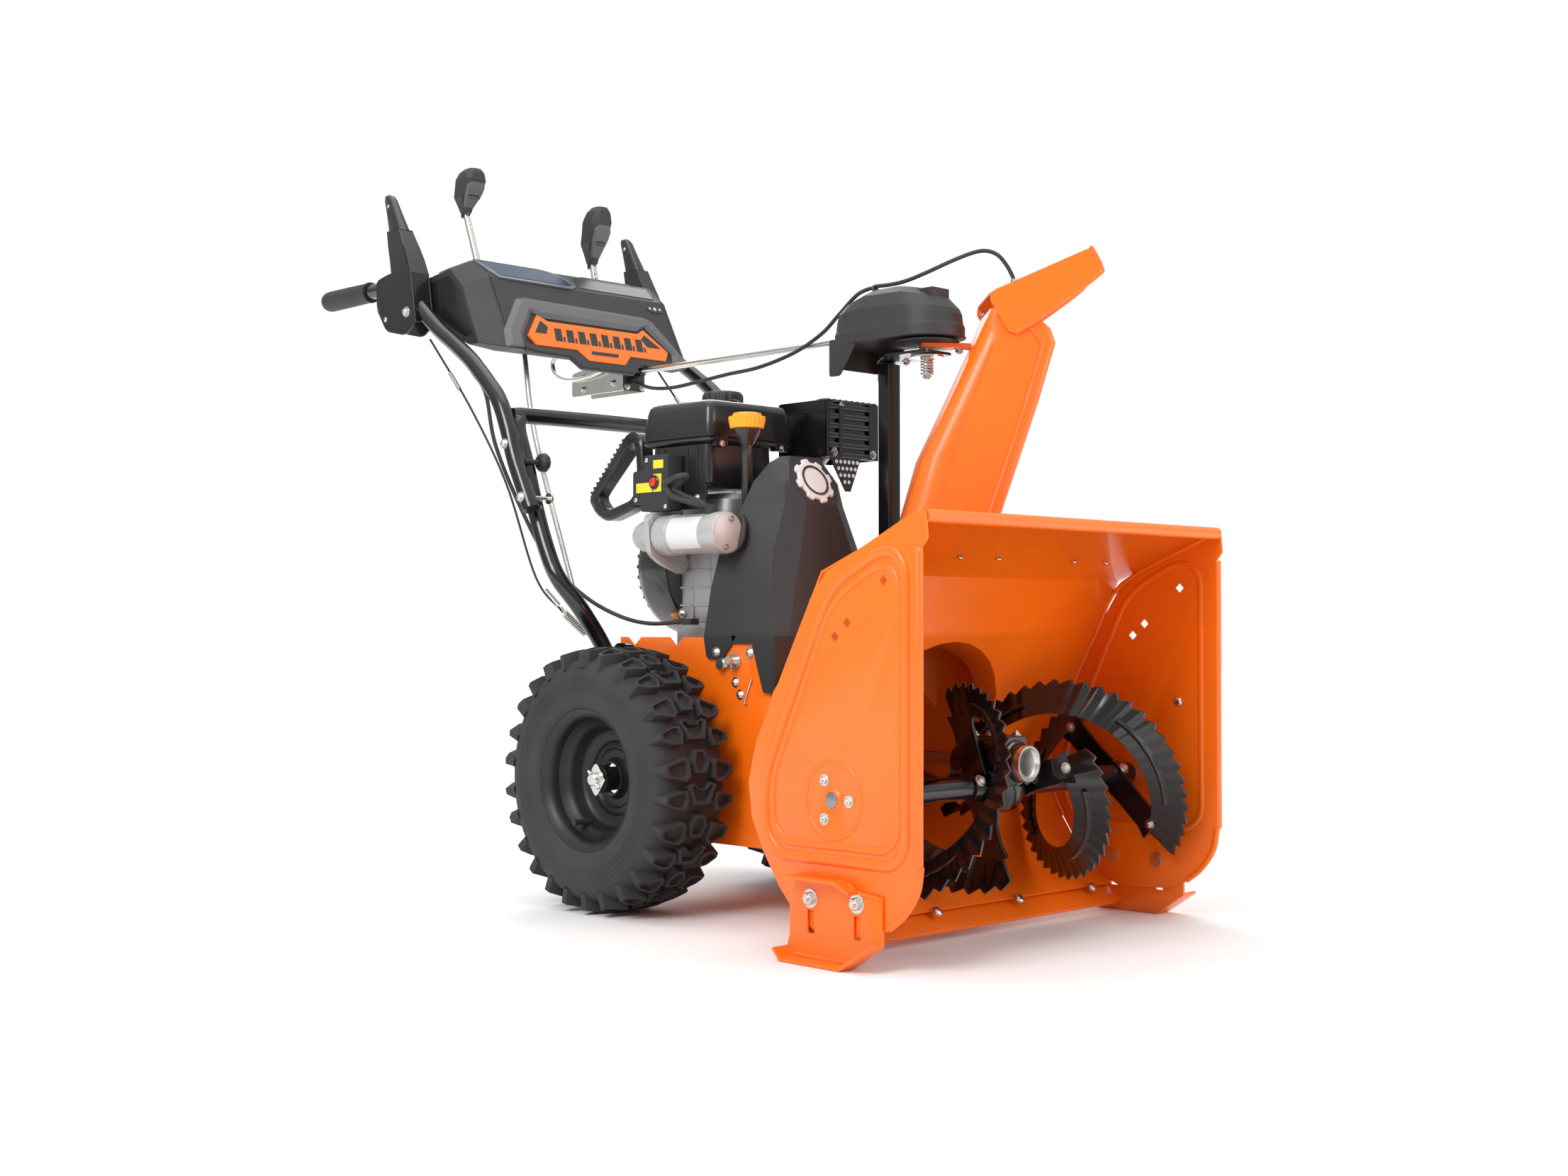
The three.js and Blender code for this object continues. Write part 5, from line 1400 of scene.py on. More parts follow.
def make_knob(name, x, y, z, tall, body):
    """A faceted lever knob with a ribbed insert and a ferrule."""
    cap = Shape()
    cap.loft([knob_section(x, y + lean, z + share * tall, w, d) for share, lean, w, d in KNOB_ROWS])
    cap.make(f"{name}_knob", PLASTIC, body, "black_plastic", bevel=1.5, angle=20)
    grip = Shape()
    rows = []
    for share, lean, w, d in (
        (0.1, 0.5, 7, 12), (0.28, -1, 11.5, 18.4), (0.42, -5, 14.5, 21.8), (0.56, -9.4, 15.5, 23.0),
        (0.66, -12, 11, 23.2),
    ):
        cy = y + lean
        h = z + share * tall
        rows.append(
            [
                (x - w - 2.2, cy - d + 4.4, h), (x - w, cy - d + 0.2, h), (x + w, cy - d + 0.2, h),
                (x + w + 2.2, cy - d + 4.4, h), (x + w, cy - d + 8, h), (x - w, cy - d + 8, h),
            ]
        )
    grip.loft(rows)
    for i in range(4):
        share = 0.33 + i * 0.075
        cy = y - 2.5 - 22 * (share - 0.3) - lerp(19, 23, i / 3)
        grip.tube(
            [
                (x - 10, cy + 0.6, z + share * tall), (x, cy, z + share * tall),
                (x + 10, cy + 0.6, z + share * tall),
            ],
            1.3, 10, 2,
        )
    grip.make(f"{name}_knob_insert", LIGHT_PLASTIC, body, "black_plastic", bevel=0.8, angle=24)
    ferrule = Shape()
    ferrule.rod((x, y + 1, z - 9), (x, y, z + 4), 7.2, 8.6, 20)
    ferrule.make(f"{name}_ferrule", GLOSS_PLASTIC, body, "black_plastic", bevel=0.6)


def flat_bar(shape, points, half_w, half_d):
    """A flat bar with rounded edges along points."""
    rings = []
    for x, y, z in points:
        rings.append(
            [
                tuple(q)
                for q in rounded(
                    [
                        (x - half_w, y - half_d, z), (x + half_w, y - half_d, z),
                        (x + half_w, y + half_d, z), (x - half_w, y + half_d, z),
                    ],
                    2.0, 3,
                )
            ]
        )
    shape.loft(rings)


SPEED_X = -110


def make_hand_controls():
    """Flat zinc levers with moulded knobs: travel speed on the right, chute on the left."""
    stem = Shape()
    flat_bar(stem, [(SPEED_X, 358, 858), (SPEED_X, 450, 925)], 5.5, 4.5)
    flat_bar(stem, [(SPEED_X, 450, 918), (SPEED_X, 486, 1000), (SPEED_X, 523, 1096)], 5.6, 3.6)
    stem.turned([(0, -7), (9, -7), (9, 7), (0, 7)], (1, 0, 0), (SPEED_X, 450, 925), 28)
    for z, y in ((1070, 513), (1078, 516)):
        stem.dome((SPEED_X, y - 3.6, z), (0, -1, 0.4), 2.4, 1.2)
    stem.make("speed_lever", ZINC, "speed_stick", "zinc", ["speed_lever"], bevel=0.3)
    make_knob("speed", SPEED_X, 524, 1097, 70, "speed_stick")
    fork = Shape()
    for x0, x1 in ((76.5, 80.5), (95.5, 99.5)):
        fork.prism(soft([(377, 824), (393, 824), (393, 861), (377, 861)], 5, 3), "x", x0, x1)
    fork.block(76.5, 99.5, 378, 392, 856, 861)
    flat_bar(fork, [(88, 388, 858), (96, 412, 905), (108, 448, 990), (113, 464, 1032)], 5.6, 3.6)
    for y, z in ((453, 1008), (456, 1016)):
        fork.dome((110, y - 3.6, z), (0, -1, 0.4), 2.4, 1.2)
    fork.make("chute_lever", ZINC, "chute_stick", "zinc", ["chute_lever"], bevel=0.3)
    make_knob("chute", 113, 466, 1033, 95, "chute_stick")


make_dash()
make_badge()
make_lamp()
make_rod_bracket()
make_hand_controls()

# ---------- engine ----------
def box_section(x0, x1, y0, y1, z, corner, steps=5):
    """A rounded rectangle at one height."""
    return [(x, y, z) for x, y in soft([(x0, y0), (x1, y0), (x1, y1), (x0, y1)], corner, steps)]


def make_engine_block():
    """Crankcase, finned cylinder, bolts, drain plug and spark lead."""
    block = Shape()
    block.loft(
        [
            box_section(-88, 88, -92, 16, z, 8)
            for z in (373.2, 398)
        ] + [box_section(-84, 84, -90, 14, 410, 8)]
    )
    rows = []
    for z, x, y0, y1 in (
        (404, 78, -90, 12), (412, 84, -94, 13), (440, 87, -95, 13.6), (560, 87, -95, 13.6),
        (590, 84, -93, 12), (599, 76, -88, 8),
    ):
        rows.append(box_section(-x, x, y0, y1, z, 22))
    block.loft(rows)
    for z in (436, 462, 488, 514):
        block.prism(
            soft([(-80, z - 1.8), (6, z - 1.8), (6, z + 1.8), (-80, z + 1.8)], 1, 2), "x", -87.9, -80,
        )
    for y in (-60, -22):
        block.prism(soft([(y - 2, 408), (y + 2, 408), (y + 2, 520), (y - 2, 520)], 1, 2), "x", -87.9, -80)
    for y in (-78, 2):
        block.rod((-87.8, y, 424), (-76, y, 424), 7.5, sides=20)
        block.rod((-87.8, y, 520), (-76, y, 520), 7.5, sides=20)
    for i in range(11):
        z = 523 + i * 11
        block.loft(
            [
                [(x, y, h) for x, y in soft([(44, -88.5), (148, -88.5), (148, -1.5), (44, -1.5)], 14, 4)]
                for h in (z - 1.4, z + 1.4)
            ]
        )
    block.loft([box_section(48, 140, -80, -8, z, 14) for z in (520.5, 639)])
    block.turned([(15, 52), (15, 4), (62, 4), (62, 12), (58, 16), (15, 18)], (0, 1, 0), (0, 0, CRANK_Z), 40)
    block.turned([(12, 106), (30, 98), (30, 92), (12, 92)], (0, -1, 0), (0, 0, CRANK_Z), 40)
    block.make("engine_block", CAST, "chassis", "cast_alloy", ["engine_block"], bevel=1.2, angle=28)
    bolts = Shape()
    for y, z in ((-78, 424), (2, 424), (-78, 520), (2, 520)):
        bolts.bolt((-87.4, y, z), (-1, 0, 0), 4.6)
    for x, y in ((-84, -80), (-84, 2), (84, -80), (84, 2)):
        bolts.bolt((x * 0.95, y, 410), (0, 0, 1), 5.5)
    for z in (540, 575, 612):
        bolts.bolt((148, -24, z), (1, 0, 0), 4.5)
    bolts.make("engine_bolts", ZINC, "chassis", "zinc", bevel=0.3)
    drain = Shape()
    drain.rod((-70, 15, 424), (-70, 40, 424), 7, sides=24)
    drain.rod((-70, 22, 424), (-70, 30, 424), 10, sides=6)
    drain.rod((-70, 38, 424), (-70, 44, 424), 5.5, sides=6)
    drain.make("oil_drain_plug", BRASS, "chassis", "zinc", bevel=0.4)
    plug = Shape()
    plug.rod((150, -45, 582), (168, -45, 586), 7.5, 6.5, 20)
    plug.tube(
        [(160, -45, 585), (174, -45, 592), (178, -36, 604), (168, -16, 612), (150, 8, 606)], 3.6, 12, 6,
    )
    plug.make("spark_lead", RUBBER, "chassis", "rubber", bevel=0.3)


FAN_Z = CRANK_Z
RECOIL_X = -75


def make_fan_housing():
    """Round shroud at the rear with blocks round its face, a screen and the fan wheel behind it."""
    shell = Shape()
    rim = [
        (30, 104), (34, 104.5), (60, 104), (66, 102), (84, 99.4), (95, 93), (101.5, 84), (104.6, 72),
        (104.8, 19), (102.4, 18.4), (101.6, 70), (98.6, 81), (92, 90), (82, 96), (60, 99), (30, 100),
    ]
    shell.turned(rim, (0, 1, 0), (0, 0, FAN_Z), 72)
    for i in range(36):
        a = 2 * math.pi * i / 36
        out = Vector((math.cos(a), 0, math.sin(a)))
        across = Vector((-math.sin(a), 0, math.cos(a)))
        at = Vector((0, 97.4, FAN_Z)) + out * 88
        shell.loft(
            [
                [
                    at + across * u * 2.6 + out * v * 5 + Vector((0, h, 0))
                    for u, v in ((-1, -1), (1, -1), (1, 1), (-1, 1))
                ]
                for h in (-2, 1.6)
            ]
        )
    shell.turned([(0, 100), (34, 100), (33, 103.6), (20, 105.4), (0, 106)], (0, 1, 0), (0, 0, FAN_Z), 48)
    shell.turned([(4, 0), (10, 0), (10, 4), (7, 8), (4, 8)], (0, 0.745, 0.667), (RECOIL_X, 95, 590), 24)
    shell.make(
        "fan_housing", GLOSS_PLASTIC, "chassis", "black_plastic", ["fan_housing"], bevel=0.6, angle=30,
    )
    screen = Shape()
    for r in (44, 54, 64, 74):
        screen.turned([(r, 103), (r + 3, 103), (r + 3, 105.4), (r, 105.4)], (0, 1, 0), (0, 0, FAN_Z), 56)
    for i in range(12):
        a = 2 * math.pi * i / 12
        c, s = math.cos(a), math.sin(a)
        screen.rod((c * 33, 104, FAN_Z + s * 33), (c * 79, 101, FAN_Z + s * 79), 2, sides=8)
    screen.make("fan_screen", PLASTIC, "chassis", "black_plastic", bevel=0.2)
    fins = Shape()
    for i in range(26):
        a = 2 * math.pi * i / 26
        rows = []
        for r, twist in ((52, 0.0), (72, 0.05), (94, 0.14)):
            c, s = math.cos(a + twist), math.sin(a + twist)
            rows.append(
                [
                    (c * r - s * w, y, FAN_Z + s * r + c * w)
                    for w, y in ((-0.9, 30), (0.9, 30), (0.9, 52), (-0.9, 52))
                ]
            )
        fins.loft(rows)
    fins.turned([(48, 27), (95, 27), (95, 30), (48, 30)], (0, 1, 0), (0, 0, FAN_Z), 60)
    fins.make("fan_wheel", CAST, "chassis", "cast_alloy", bevel=0.2)
    screws = Shape()
    for i in range(4):
        a = math.pi / 4 + math.pi * i / 2
        screws.bolt((math.cos(a) * 60, 103, FAN_Z + math.sin(a) * 60), (0, 1, 0), 4)
    screws.make("fan_screws", ZINC, "chassis", "zinc", bevel=0.3)


GRIP_LOOP = [
    (226, 604), (206, 578), (178, 566), (118, 582), (100, 600), (92, 640), (96, 688), (112, 703), (132, 700),
]
GRIP_HOLE = [(203, 606), (190, 590), (176, 584), (124, 597), (112, 610), (108, 640), (111, 676), (118, 682)]


def make_recoil_grip():
    """D-shaped starter grip with a ribbed bar, and its rope."""
    loop = Shape()
    outer = soft(GRIP_LOOP, 12, 4)
    middle_y = sum(p[0] for p in outer) / len(outer)
    middle_z = sum(p[1] for p in outer) / len(outer)

    def spread(angle, outline):
        """Where the ray from the loop's middle leaves an outline."""
        d = Vector((math.cos(angle), math.sin(angle)))
        c = Vector((middle_y, middle_z))
        best = None
        for i, p in enumerate(outline):
            a, b = Vector(p) - c, Vector(outline[(i + 1) % len(outline)]) - c
            e = b - a
            cross = d.x * e.y - d.y * e.x
            if abs(cross) < 1e-9:
                continue
            along = (a.x * e.y - a.y * e.x) / cross
            share = (a.x * d.y - a.y * d.x) / cross
            if along > 0 and -1e-6 <= share <= 1 + 1e-6:
                best = along if best is None else max(best, along)
        return c + d * best

    hole = soft(GRIP_HOLE, 7, 4)
    rings = []
    for k in range(72):
        angle = 2 * math.pi * k / 72
        out_point, in_point = spread(angle, outer), spread(angle, hole)
        ring = []
        for s, t in ((-1, 0.2), (-0.8, 0), (0.8, 0), (1, 0.2), (1, 0.8), (0.8, 1), (-0.8, 1), (-1, 0.8)):
            p = out_point.lerp(in_point, t)
            ring.append((RECOIL_X + 12.6 * s, p.x, p.y))
        rings.append(ring)
    loop.loft(rings, loop=True)
    for k in range(12):
        t = (k + 0.5) / 12
        y, z = lerp(221, 138, t), lerp(610, 694, t)
        loop.rod((RECOIL_X - 11.6, y, z), (RECOIL_X + 11.6, y, z), 2.0, sides=10)
    loop.rod((RECOIL_X, 103, 600), (RECOIL_X, 112, 612), 8, 10, 20)
    loop.make("recoil_grip", GLOSS_PLASTIC, "recoil", "black_plastic", ["recoil_grip"], bevel=0.6, angle=34)
    rope = Shape()
    rope.rod((RECOIL_X, 104, 600), (RECOIL_X, 36, 539), 2.4, sides=12)
    rope.make("recoil_rope", RUBBER, "recoil", "cable_sheath")


STARTER_X, STARTER_Z = -132, 537


def make_starter():
    """Electric starter motor with its flange, blank label and leads."""
    body = Shape()
    centre = (STARTER_X, 0, STARTER_Z)
    body.turned(
        [
            (0, -140), (0, -146.5), (25, -148), (29, -146), (30, -142), (30, -116), (28.6, -115),
            (28.6, -42), (30, -41), (30, -14), (0, -14),
        ],
        (0, 1, 0), centre, 56,
    )
    body.turned(
        [(0, -14), (27, -14), (27, 8), (23, 10), (23, 30), (19, 40), (10, 44), (0, 44)], (0, 1, 0), centre,
        48,
    )
    flange = soft(
        [
            (-166, 560), (-150, 572), (-108, 572), (-92, 556), (-92, 512), (-84, 494), (-98, 480),
            (-140, 496), (-160, 510),
        ],
        8, 4,
    )
    body.prism(flange, "y", -12, -2)
    for x, z in ((-100, 492), (-152, 560), (-98, 560)):
        body.turned([(3.4, 0), (8.5, 0), (8.5, 16), (3.4, 16)], (0, 1, 0), (x, -13, z), 20)
    body.make("starter_motor", STARTER, "chassis", "starter_paint", ["starter_motor"], bevel=0.8, angle=32)
    cap = Shape()
    for a in (75, 255):
        x = STARTER_X + 21 * math.cos(math.radians(a))
        z = STARTER_Z + 21 * math.sin(math.radians(a))
        cap.turned(
            [(0, 0), (5, 0), (5, 1.4), (3.6, 1.6), (2, 0.6), (0, 0.6)], (0, -1, 0), (x, -147.4, z), 20,
        )
    cap.make("starter_cap_screws", STEEL, "chassis", "steel")
    label = Shape()
    rows = []
    for k in range(13):
        a = math.radians(126 + k * 8.5)
        rows.append(
            [
                (STARTER_X + r * math.cos(a), y, STARTER_Z + r * math.sin(a))
                for r, y in ((28.3, -112), (28.9, -112), (28.9, -46), (28.3, -46))
            ]
        )
    label.loft(rows)
    label.make("starter_label", LABEL_WHITE, "chassis", "starter_paint")
    lead = Shape()
    lead.turned([(0, 0), (9, 0), (9, 9), (7, 13), (0, 14)], (-0.35, -0.2, 0.9), (-137, -118, 563), 20)
    lead.tube(
        [
            (-152, -44, 612), (-168, -64, 612), (-174, -84, 616), (-164, -94, 618), (-156, -76, 612),
            (-160, -64, 600), (-158, -84, 590), (-148, -108, 580), (-141, -117, 572),
        ],
        4.4, 14, 8,
    )
    lead.tube(
        [(-152, -38, 606), (-166, -56, 600), (-168, -70, 590), (-160, -92, 582), (-146, -108, 576)], 4.2,
        14, 8,
    )
    lead.rod((-152.5, -42, 608), (-158, -46, 608), 11, 8, 20)
    lead.make("starter_lead", RUBBER, "chassis", "rubber", bevel=0.4)


BUTTON_Y, BUTTON_Z = -11, 614
SWITCH_SIDE = [(-40, 572), (20, 572), (20, 584), (38, 584), (38, 632), (14, 632), (14, 654), (-40, 654)]


def make_switch_box():
    """Switch box beside the engine, with blank patches and the electric start button in its seat."""
    box_shape = Shape()
    box_shape.prism(soft(SWITCH_SIDE, 5, 4), "x", -151.6, -124)
    box_shape.tube([(-150, -36, 650), (-150, -36, 576)], 1.4, 8, 1)
    box_shape.make("switch_box", PLASTIC, "chassis", "black_plastic", ["switch_box"], bevel=1.2, angle=28)
    back = Shape()
    back.block(-124, -116, -36, 18, 578, 650)
    back.make("switch_bracket", BLACK, "chassis", "black_paint", bevel=0.6)
    patches = Shape()
    for y0, y1, z0, z1 in ((-30, -8, 634, 646), (-6, 30, 600, 614), (-26, -8, 600, 626)):
        patches.block(-152.1, -151.4, y0, y1, z0, z1)
    patches.make("switch_box_labels", LABEL_YELLOW, "chassis", "yellow_plastic", bevel=0.1)
    screws = Shape()
    for y, z in ((-34, 578), (8, 647), (32, 590)):
        screws.dome((-151.4, y, z), (-1, 0, 0), 3.6, 1.8)
    screws.make("switch_box_screws", ZINC, "chassis", "zinc")
    seat = Shape()
    seat.turned(
        [
            (7.4, 0), (10.5, 0), (10.5, 2.2), (9, 3.4), (7.4, 3.4),
        ], (-1, 0, 0), (-151.6, BUTTON_Y, BUTTON_Z), 32,
    )
    seat.make("button_seat", GLOSS_PLASTIC, "chassis", "black_plastic")
    button = Shape()
    button.turned(
        [
            (0, 0), (6.8, 0), (6.8, 5), (5.8, 6.6), (3, 7.4), (0, 7.6),
        ], (-1, 0, 0), (-150.4, BUTTON_Y, BUTTON_Z), 36,
    )
    button.make("start_button", RED, "button", "red_plastic", ["start_button"])


TANK_CAP_Y = 8
DIPSTICK_X, DIPSTICK_Y = -90, -141


def grooved_ring(x, y, z, radius, groove, sides, pitch):
    """One level of a cap's rim, drawn in by groove at two points of every pitch."""
    ring = []
    for k in range(sides):
        r = radius - (groove if k % pitch < 2 else 0)
        angle = 2 * math.pi * k / sides
        ring.append((x + r * math.cos(angle), y + r * math.sin(angle), z))
    return ring


def make_covers():
    """Carburettor cover and fuel tank with its pinched seam, cap and tether."""
    carb = Shape()
    carb.loft(
        [
            box_section(-116, 8, -88, 30, 605, 12), box_section(-121, 9.5, -91.5, 33.5, 612, 14),
            box_section(-121.8, 9.8, -91.8, 33.8, 640, 14), box_section(-120, 9, -90.6, 32.6, 667.6, 14),
        ]
    )
    carb.prism(soft([(-88, 574), (30, 574), (30, 612), (-88, 612)], 9, 4), "x", -121.6, -117)
    for y in (-70, -48, 4):
        carb.tube([(-121.6, y, 612), (-121.9, y, 640), (-120.6, y, 664)], 1.6, 8, 2)
    carb.make("carb_cover", GLOSS_PLASTIC, "chassis", "black_plastic", ["carb_cover"], bevel=1.2, angle=30)
    tank = Shape()
    rows = []
    for z, out, corner in (
        (668, 8, 12), (671.2, 1.5, 13), (674, 0, 14), (675.6, 0, 14), (676.4, 3.0, 13), (677.6, 3.0, 13),
        (678.6, 0.4, 14), (682, 0.2, 14), (700, 1.8, 14), (718, 4.0, 14), (726, 6.0, 14), (730, 9.5, 14),
        (732, 15, 14),
    ):
        rows.append(box_section(-126 + out, 46 - out, -100 + out, 50 - out, z, corner, 7))
    tank.loft(rows)
    tank.rod((0, TANK_CAP_Y, 729), (0, TANK_CAP_Y, 737), 22, 20, 40)
    for x, y in ((-100, -98), (20, -98)):
        tank.block(x - 12, x + 12, y - 1.6, y + 10, 664, 681)
    tank.make("fuel_tank", GLOSS_PLASTIC, "chassis", "black_plastic", ["fuel_tank"], bevel=0.7, angle=34)
    cap = Shape()
    rows = []
    for z, r, groove in (
        (733.4, 30, 0.0), (735, 31.4, 1.6), (752, 31.2, 1.8), (756, 30, 1.2), (759, 27, 0), (760, 22, 0),
    ):
        rows.append(grooved_ring(0, TANK_CAP_Y, z, r, groove, 72, 6))
    cap.loft(rows)
    cap.make("fuel_cap", PLASTIC, "tank_cap", "black_plastic", ["fuel_cap"], bevel=0.4, angle=30)
    tether = Shape()
    tether.tube(
        [
            (-14, -16, 740), (-22, -34, 742), (-34, -62, 737), (-44, -86, 722), (-46, -97, 706),
            (-40, -99, 692),
        ],
        1.6, 10, 8,
    )
    tether.make("cap_tether", RUBBER, "chassis", "rubber")
    screws = Shape()
    for y, z in ((-70, 590), (4, 590)):
        screws.bolt((-121.6, y, z), (-1, 0, 0), 4)
    for x in (-100, 20):
        screws.bolt((x, -99.4, 668), (0, -1, 0), 3.4)
    screws.make("tank_screws", ZINC, "chassis", "zinc", bevel=0.3)


def make_dipstick():
    """Curved oil filler tube with a funnel top and a knurled cap."""
    tube = Shape()
    tube.tube([(-90, -141, 672), (-89.6, -140, 648), (-79, -129, 600), (-68, -117, 558)], 8, 24, 8)
    tube.turned(
        [(7.6, 662), (9.4, 664), (20.4, 683), (21, 685.8), (18, 685.8), (8, 668)], (0, 0, 1),
        (DIPSTICK_X, DIPSTICK_Y, 0), 36,
    )
    tube.rod((-68.6, -117.6, 562), (-66, -114, 550), 11, sides=20)
    tube.make("oil_tube", GLOSS_PLASTIC, "chassis", "black_plastic", ["oil_tube"], bevel=0.4)
    cap = Shape()
    rows = []
    for z, r, groove in (
        (686.4, 20, 0.0), (687.4, 24.2, 0.9), (700, 26.6, 1.3), (703.4, 26.6, 0.9), (704, 24, 0),
        (704.4, 20.8, 0), (708.4, 20.4, 0), (709, 18, 0),
    ):
        rows.append(grooved_ring(DIPSTICK_X, DIPSTICK_Y, z, r, groove, 96, 4))
    cap.loft(rows)
    cap.make("oil_cap", YELLOW, "dipstick", "yellow_plastic", ["oil_cap"], bevel=0.3)


def make_muffler():
    """Muffler drum in a slotted guard with a perforated bracket."""
    drum = Shape()
    drum.loft(
        [
            [(x, y, z) for y, z in soft([(-138, 664), (-76, 664), (-76, 730), (-138, 730)], 22, 5)]
            for x in (70, 160)
        ]
    )
    drum.tube([(118, -90, 670), (118, -72, 656), (110, -50, 640)], 14, 20, 5)
    drum.make("muffler", STEEL, "chassis", "steel", bevel=1.2)
    guard = Shape()
    inner, outer = (62, 170, -152, -54), (60, 172, -154, -52)
    z0, z1 = 655.4, 741
    guard.loft([box_section(*outer, z, 5, 3) for z in (z1 - 2.4, z1)])
    for x0, x1 in ((outer[0], inner[0]), (inner[1], outer[1])):
        guard.block(x0, x1, -152, -54, z0, z1 - 1)
    guard.block(outer[0], outer[1], -54, -52, z0, z1 - 1)
    guard.block(62, 170, -148.4, -147, z0, z1 - 2)
    for x0, x1 in ((60, 66), (87, 94), (152, 172)):
        guard.block(x0, x1, -154, -150, z0, z1 - 1)
    for k in range(6):
        z = 660 + k * 14.5
        guard.block(66, 152, -153.2, -150, z - 2.2, z + 2.2)
        for x0, x1 in ((66, 87), (94, 152)):
            for edge in (z + 2.6, z - 2.6):
                guard.tube([(x0, -151.6, edge), (x1, -151.6, edge)], 1.7, 12, 1)
    for k in range(9):
        guard.tube(
            [(66 + k * 12.5, -153, 741), (66 + k * 12.5, -140, 742.0), (66 + k * 12.5, -128, 741)], 2.2, 8,
            2,
        )
    guard.make("muffler_guard", BLACK, "chassis", "black_paint", ["muffler_guard"], bevel=0.5, angle=32)
    bracket = Shape()
    bracket.prism([(68, 656), (134, 656), (112, 606), (102, 606)], "y", -153, -150.6)
    bracket.make("guard_bracket", BLACK, "chassis", "black_paint", bevel=0.3)
    holes = Shape()
    for row, count in ((650, 6), (640, 5), (630, 4), (620, 2)):
        for i in range(count):
            x = 104 + (i - (count - 1) / 2) * 9
            holes.rod((x, -153.2, row), (x, -150.4, row), 2.9, sides=16)
    holes.make("guard_bracket_holes", LABEL_WHITE, "chassis", "zinc")
    bolts = Shape()
    for x, z in ((76, 664), (160, 664)):
        bolts.bolt((x, -153.6, z), (0, -1, 0), 4.5)
    bolts.bolt((90, -154, 735), (0, -0.3, 1), 3.5)
    bolts.make("guard_bolts", STEEL, "chassis", "steel", bevel=0.3)


make_engine_block()
make_fan_housing()
make_recoil_grip()
make_starter()
make_switch_box()
make_covers()
make_dipstick()
make_muffler()

# ---------- belt cover ----------
# half outlines of the belt cover from its rear edge to its front, by height: (z, ((x, y), ...))
COVER_ROWS = [
    (389, ((128.5, -91), (127, -229), (98, -236))), (425, ((125, -96), (113, -214), (84, -227))),
    (460, ((122, -100), (104, -203), (70, -219))), (513, ((112, -108), (88, -192), (52, -212))),
    (579, ((95, -138), (60, -187), (31, -203))), (612, ((85, -150), (54, -182), (50, -186))),
    (640, ((56, -152), (38, -168), (36, -172))), (650, ((34, -152), (31, -161), (30, -167))),
]
COVER_WALL = 3.0


def cover_ring(half, z, off=0.0):
    """A full outline of the belt cover at one height from half of it, drawn in by off."""
    ring = [(-max(4, x - off), y + (off if i else 0), z) for i, (x, y) in enumerate(half)]
    return ring + [(-x, y, z) for x, y, _ in reversed(ring)]


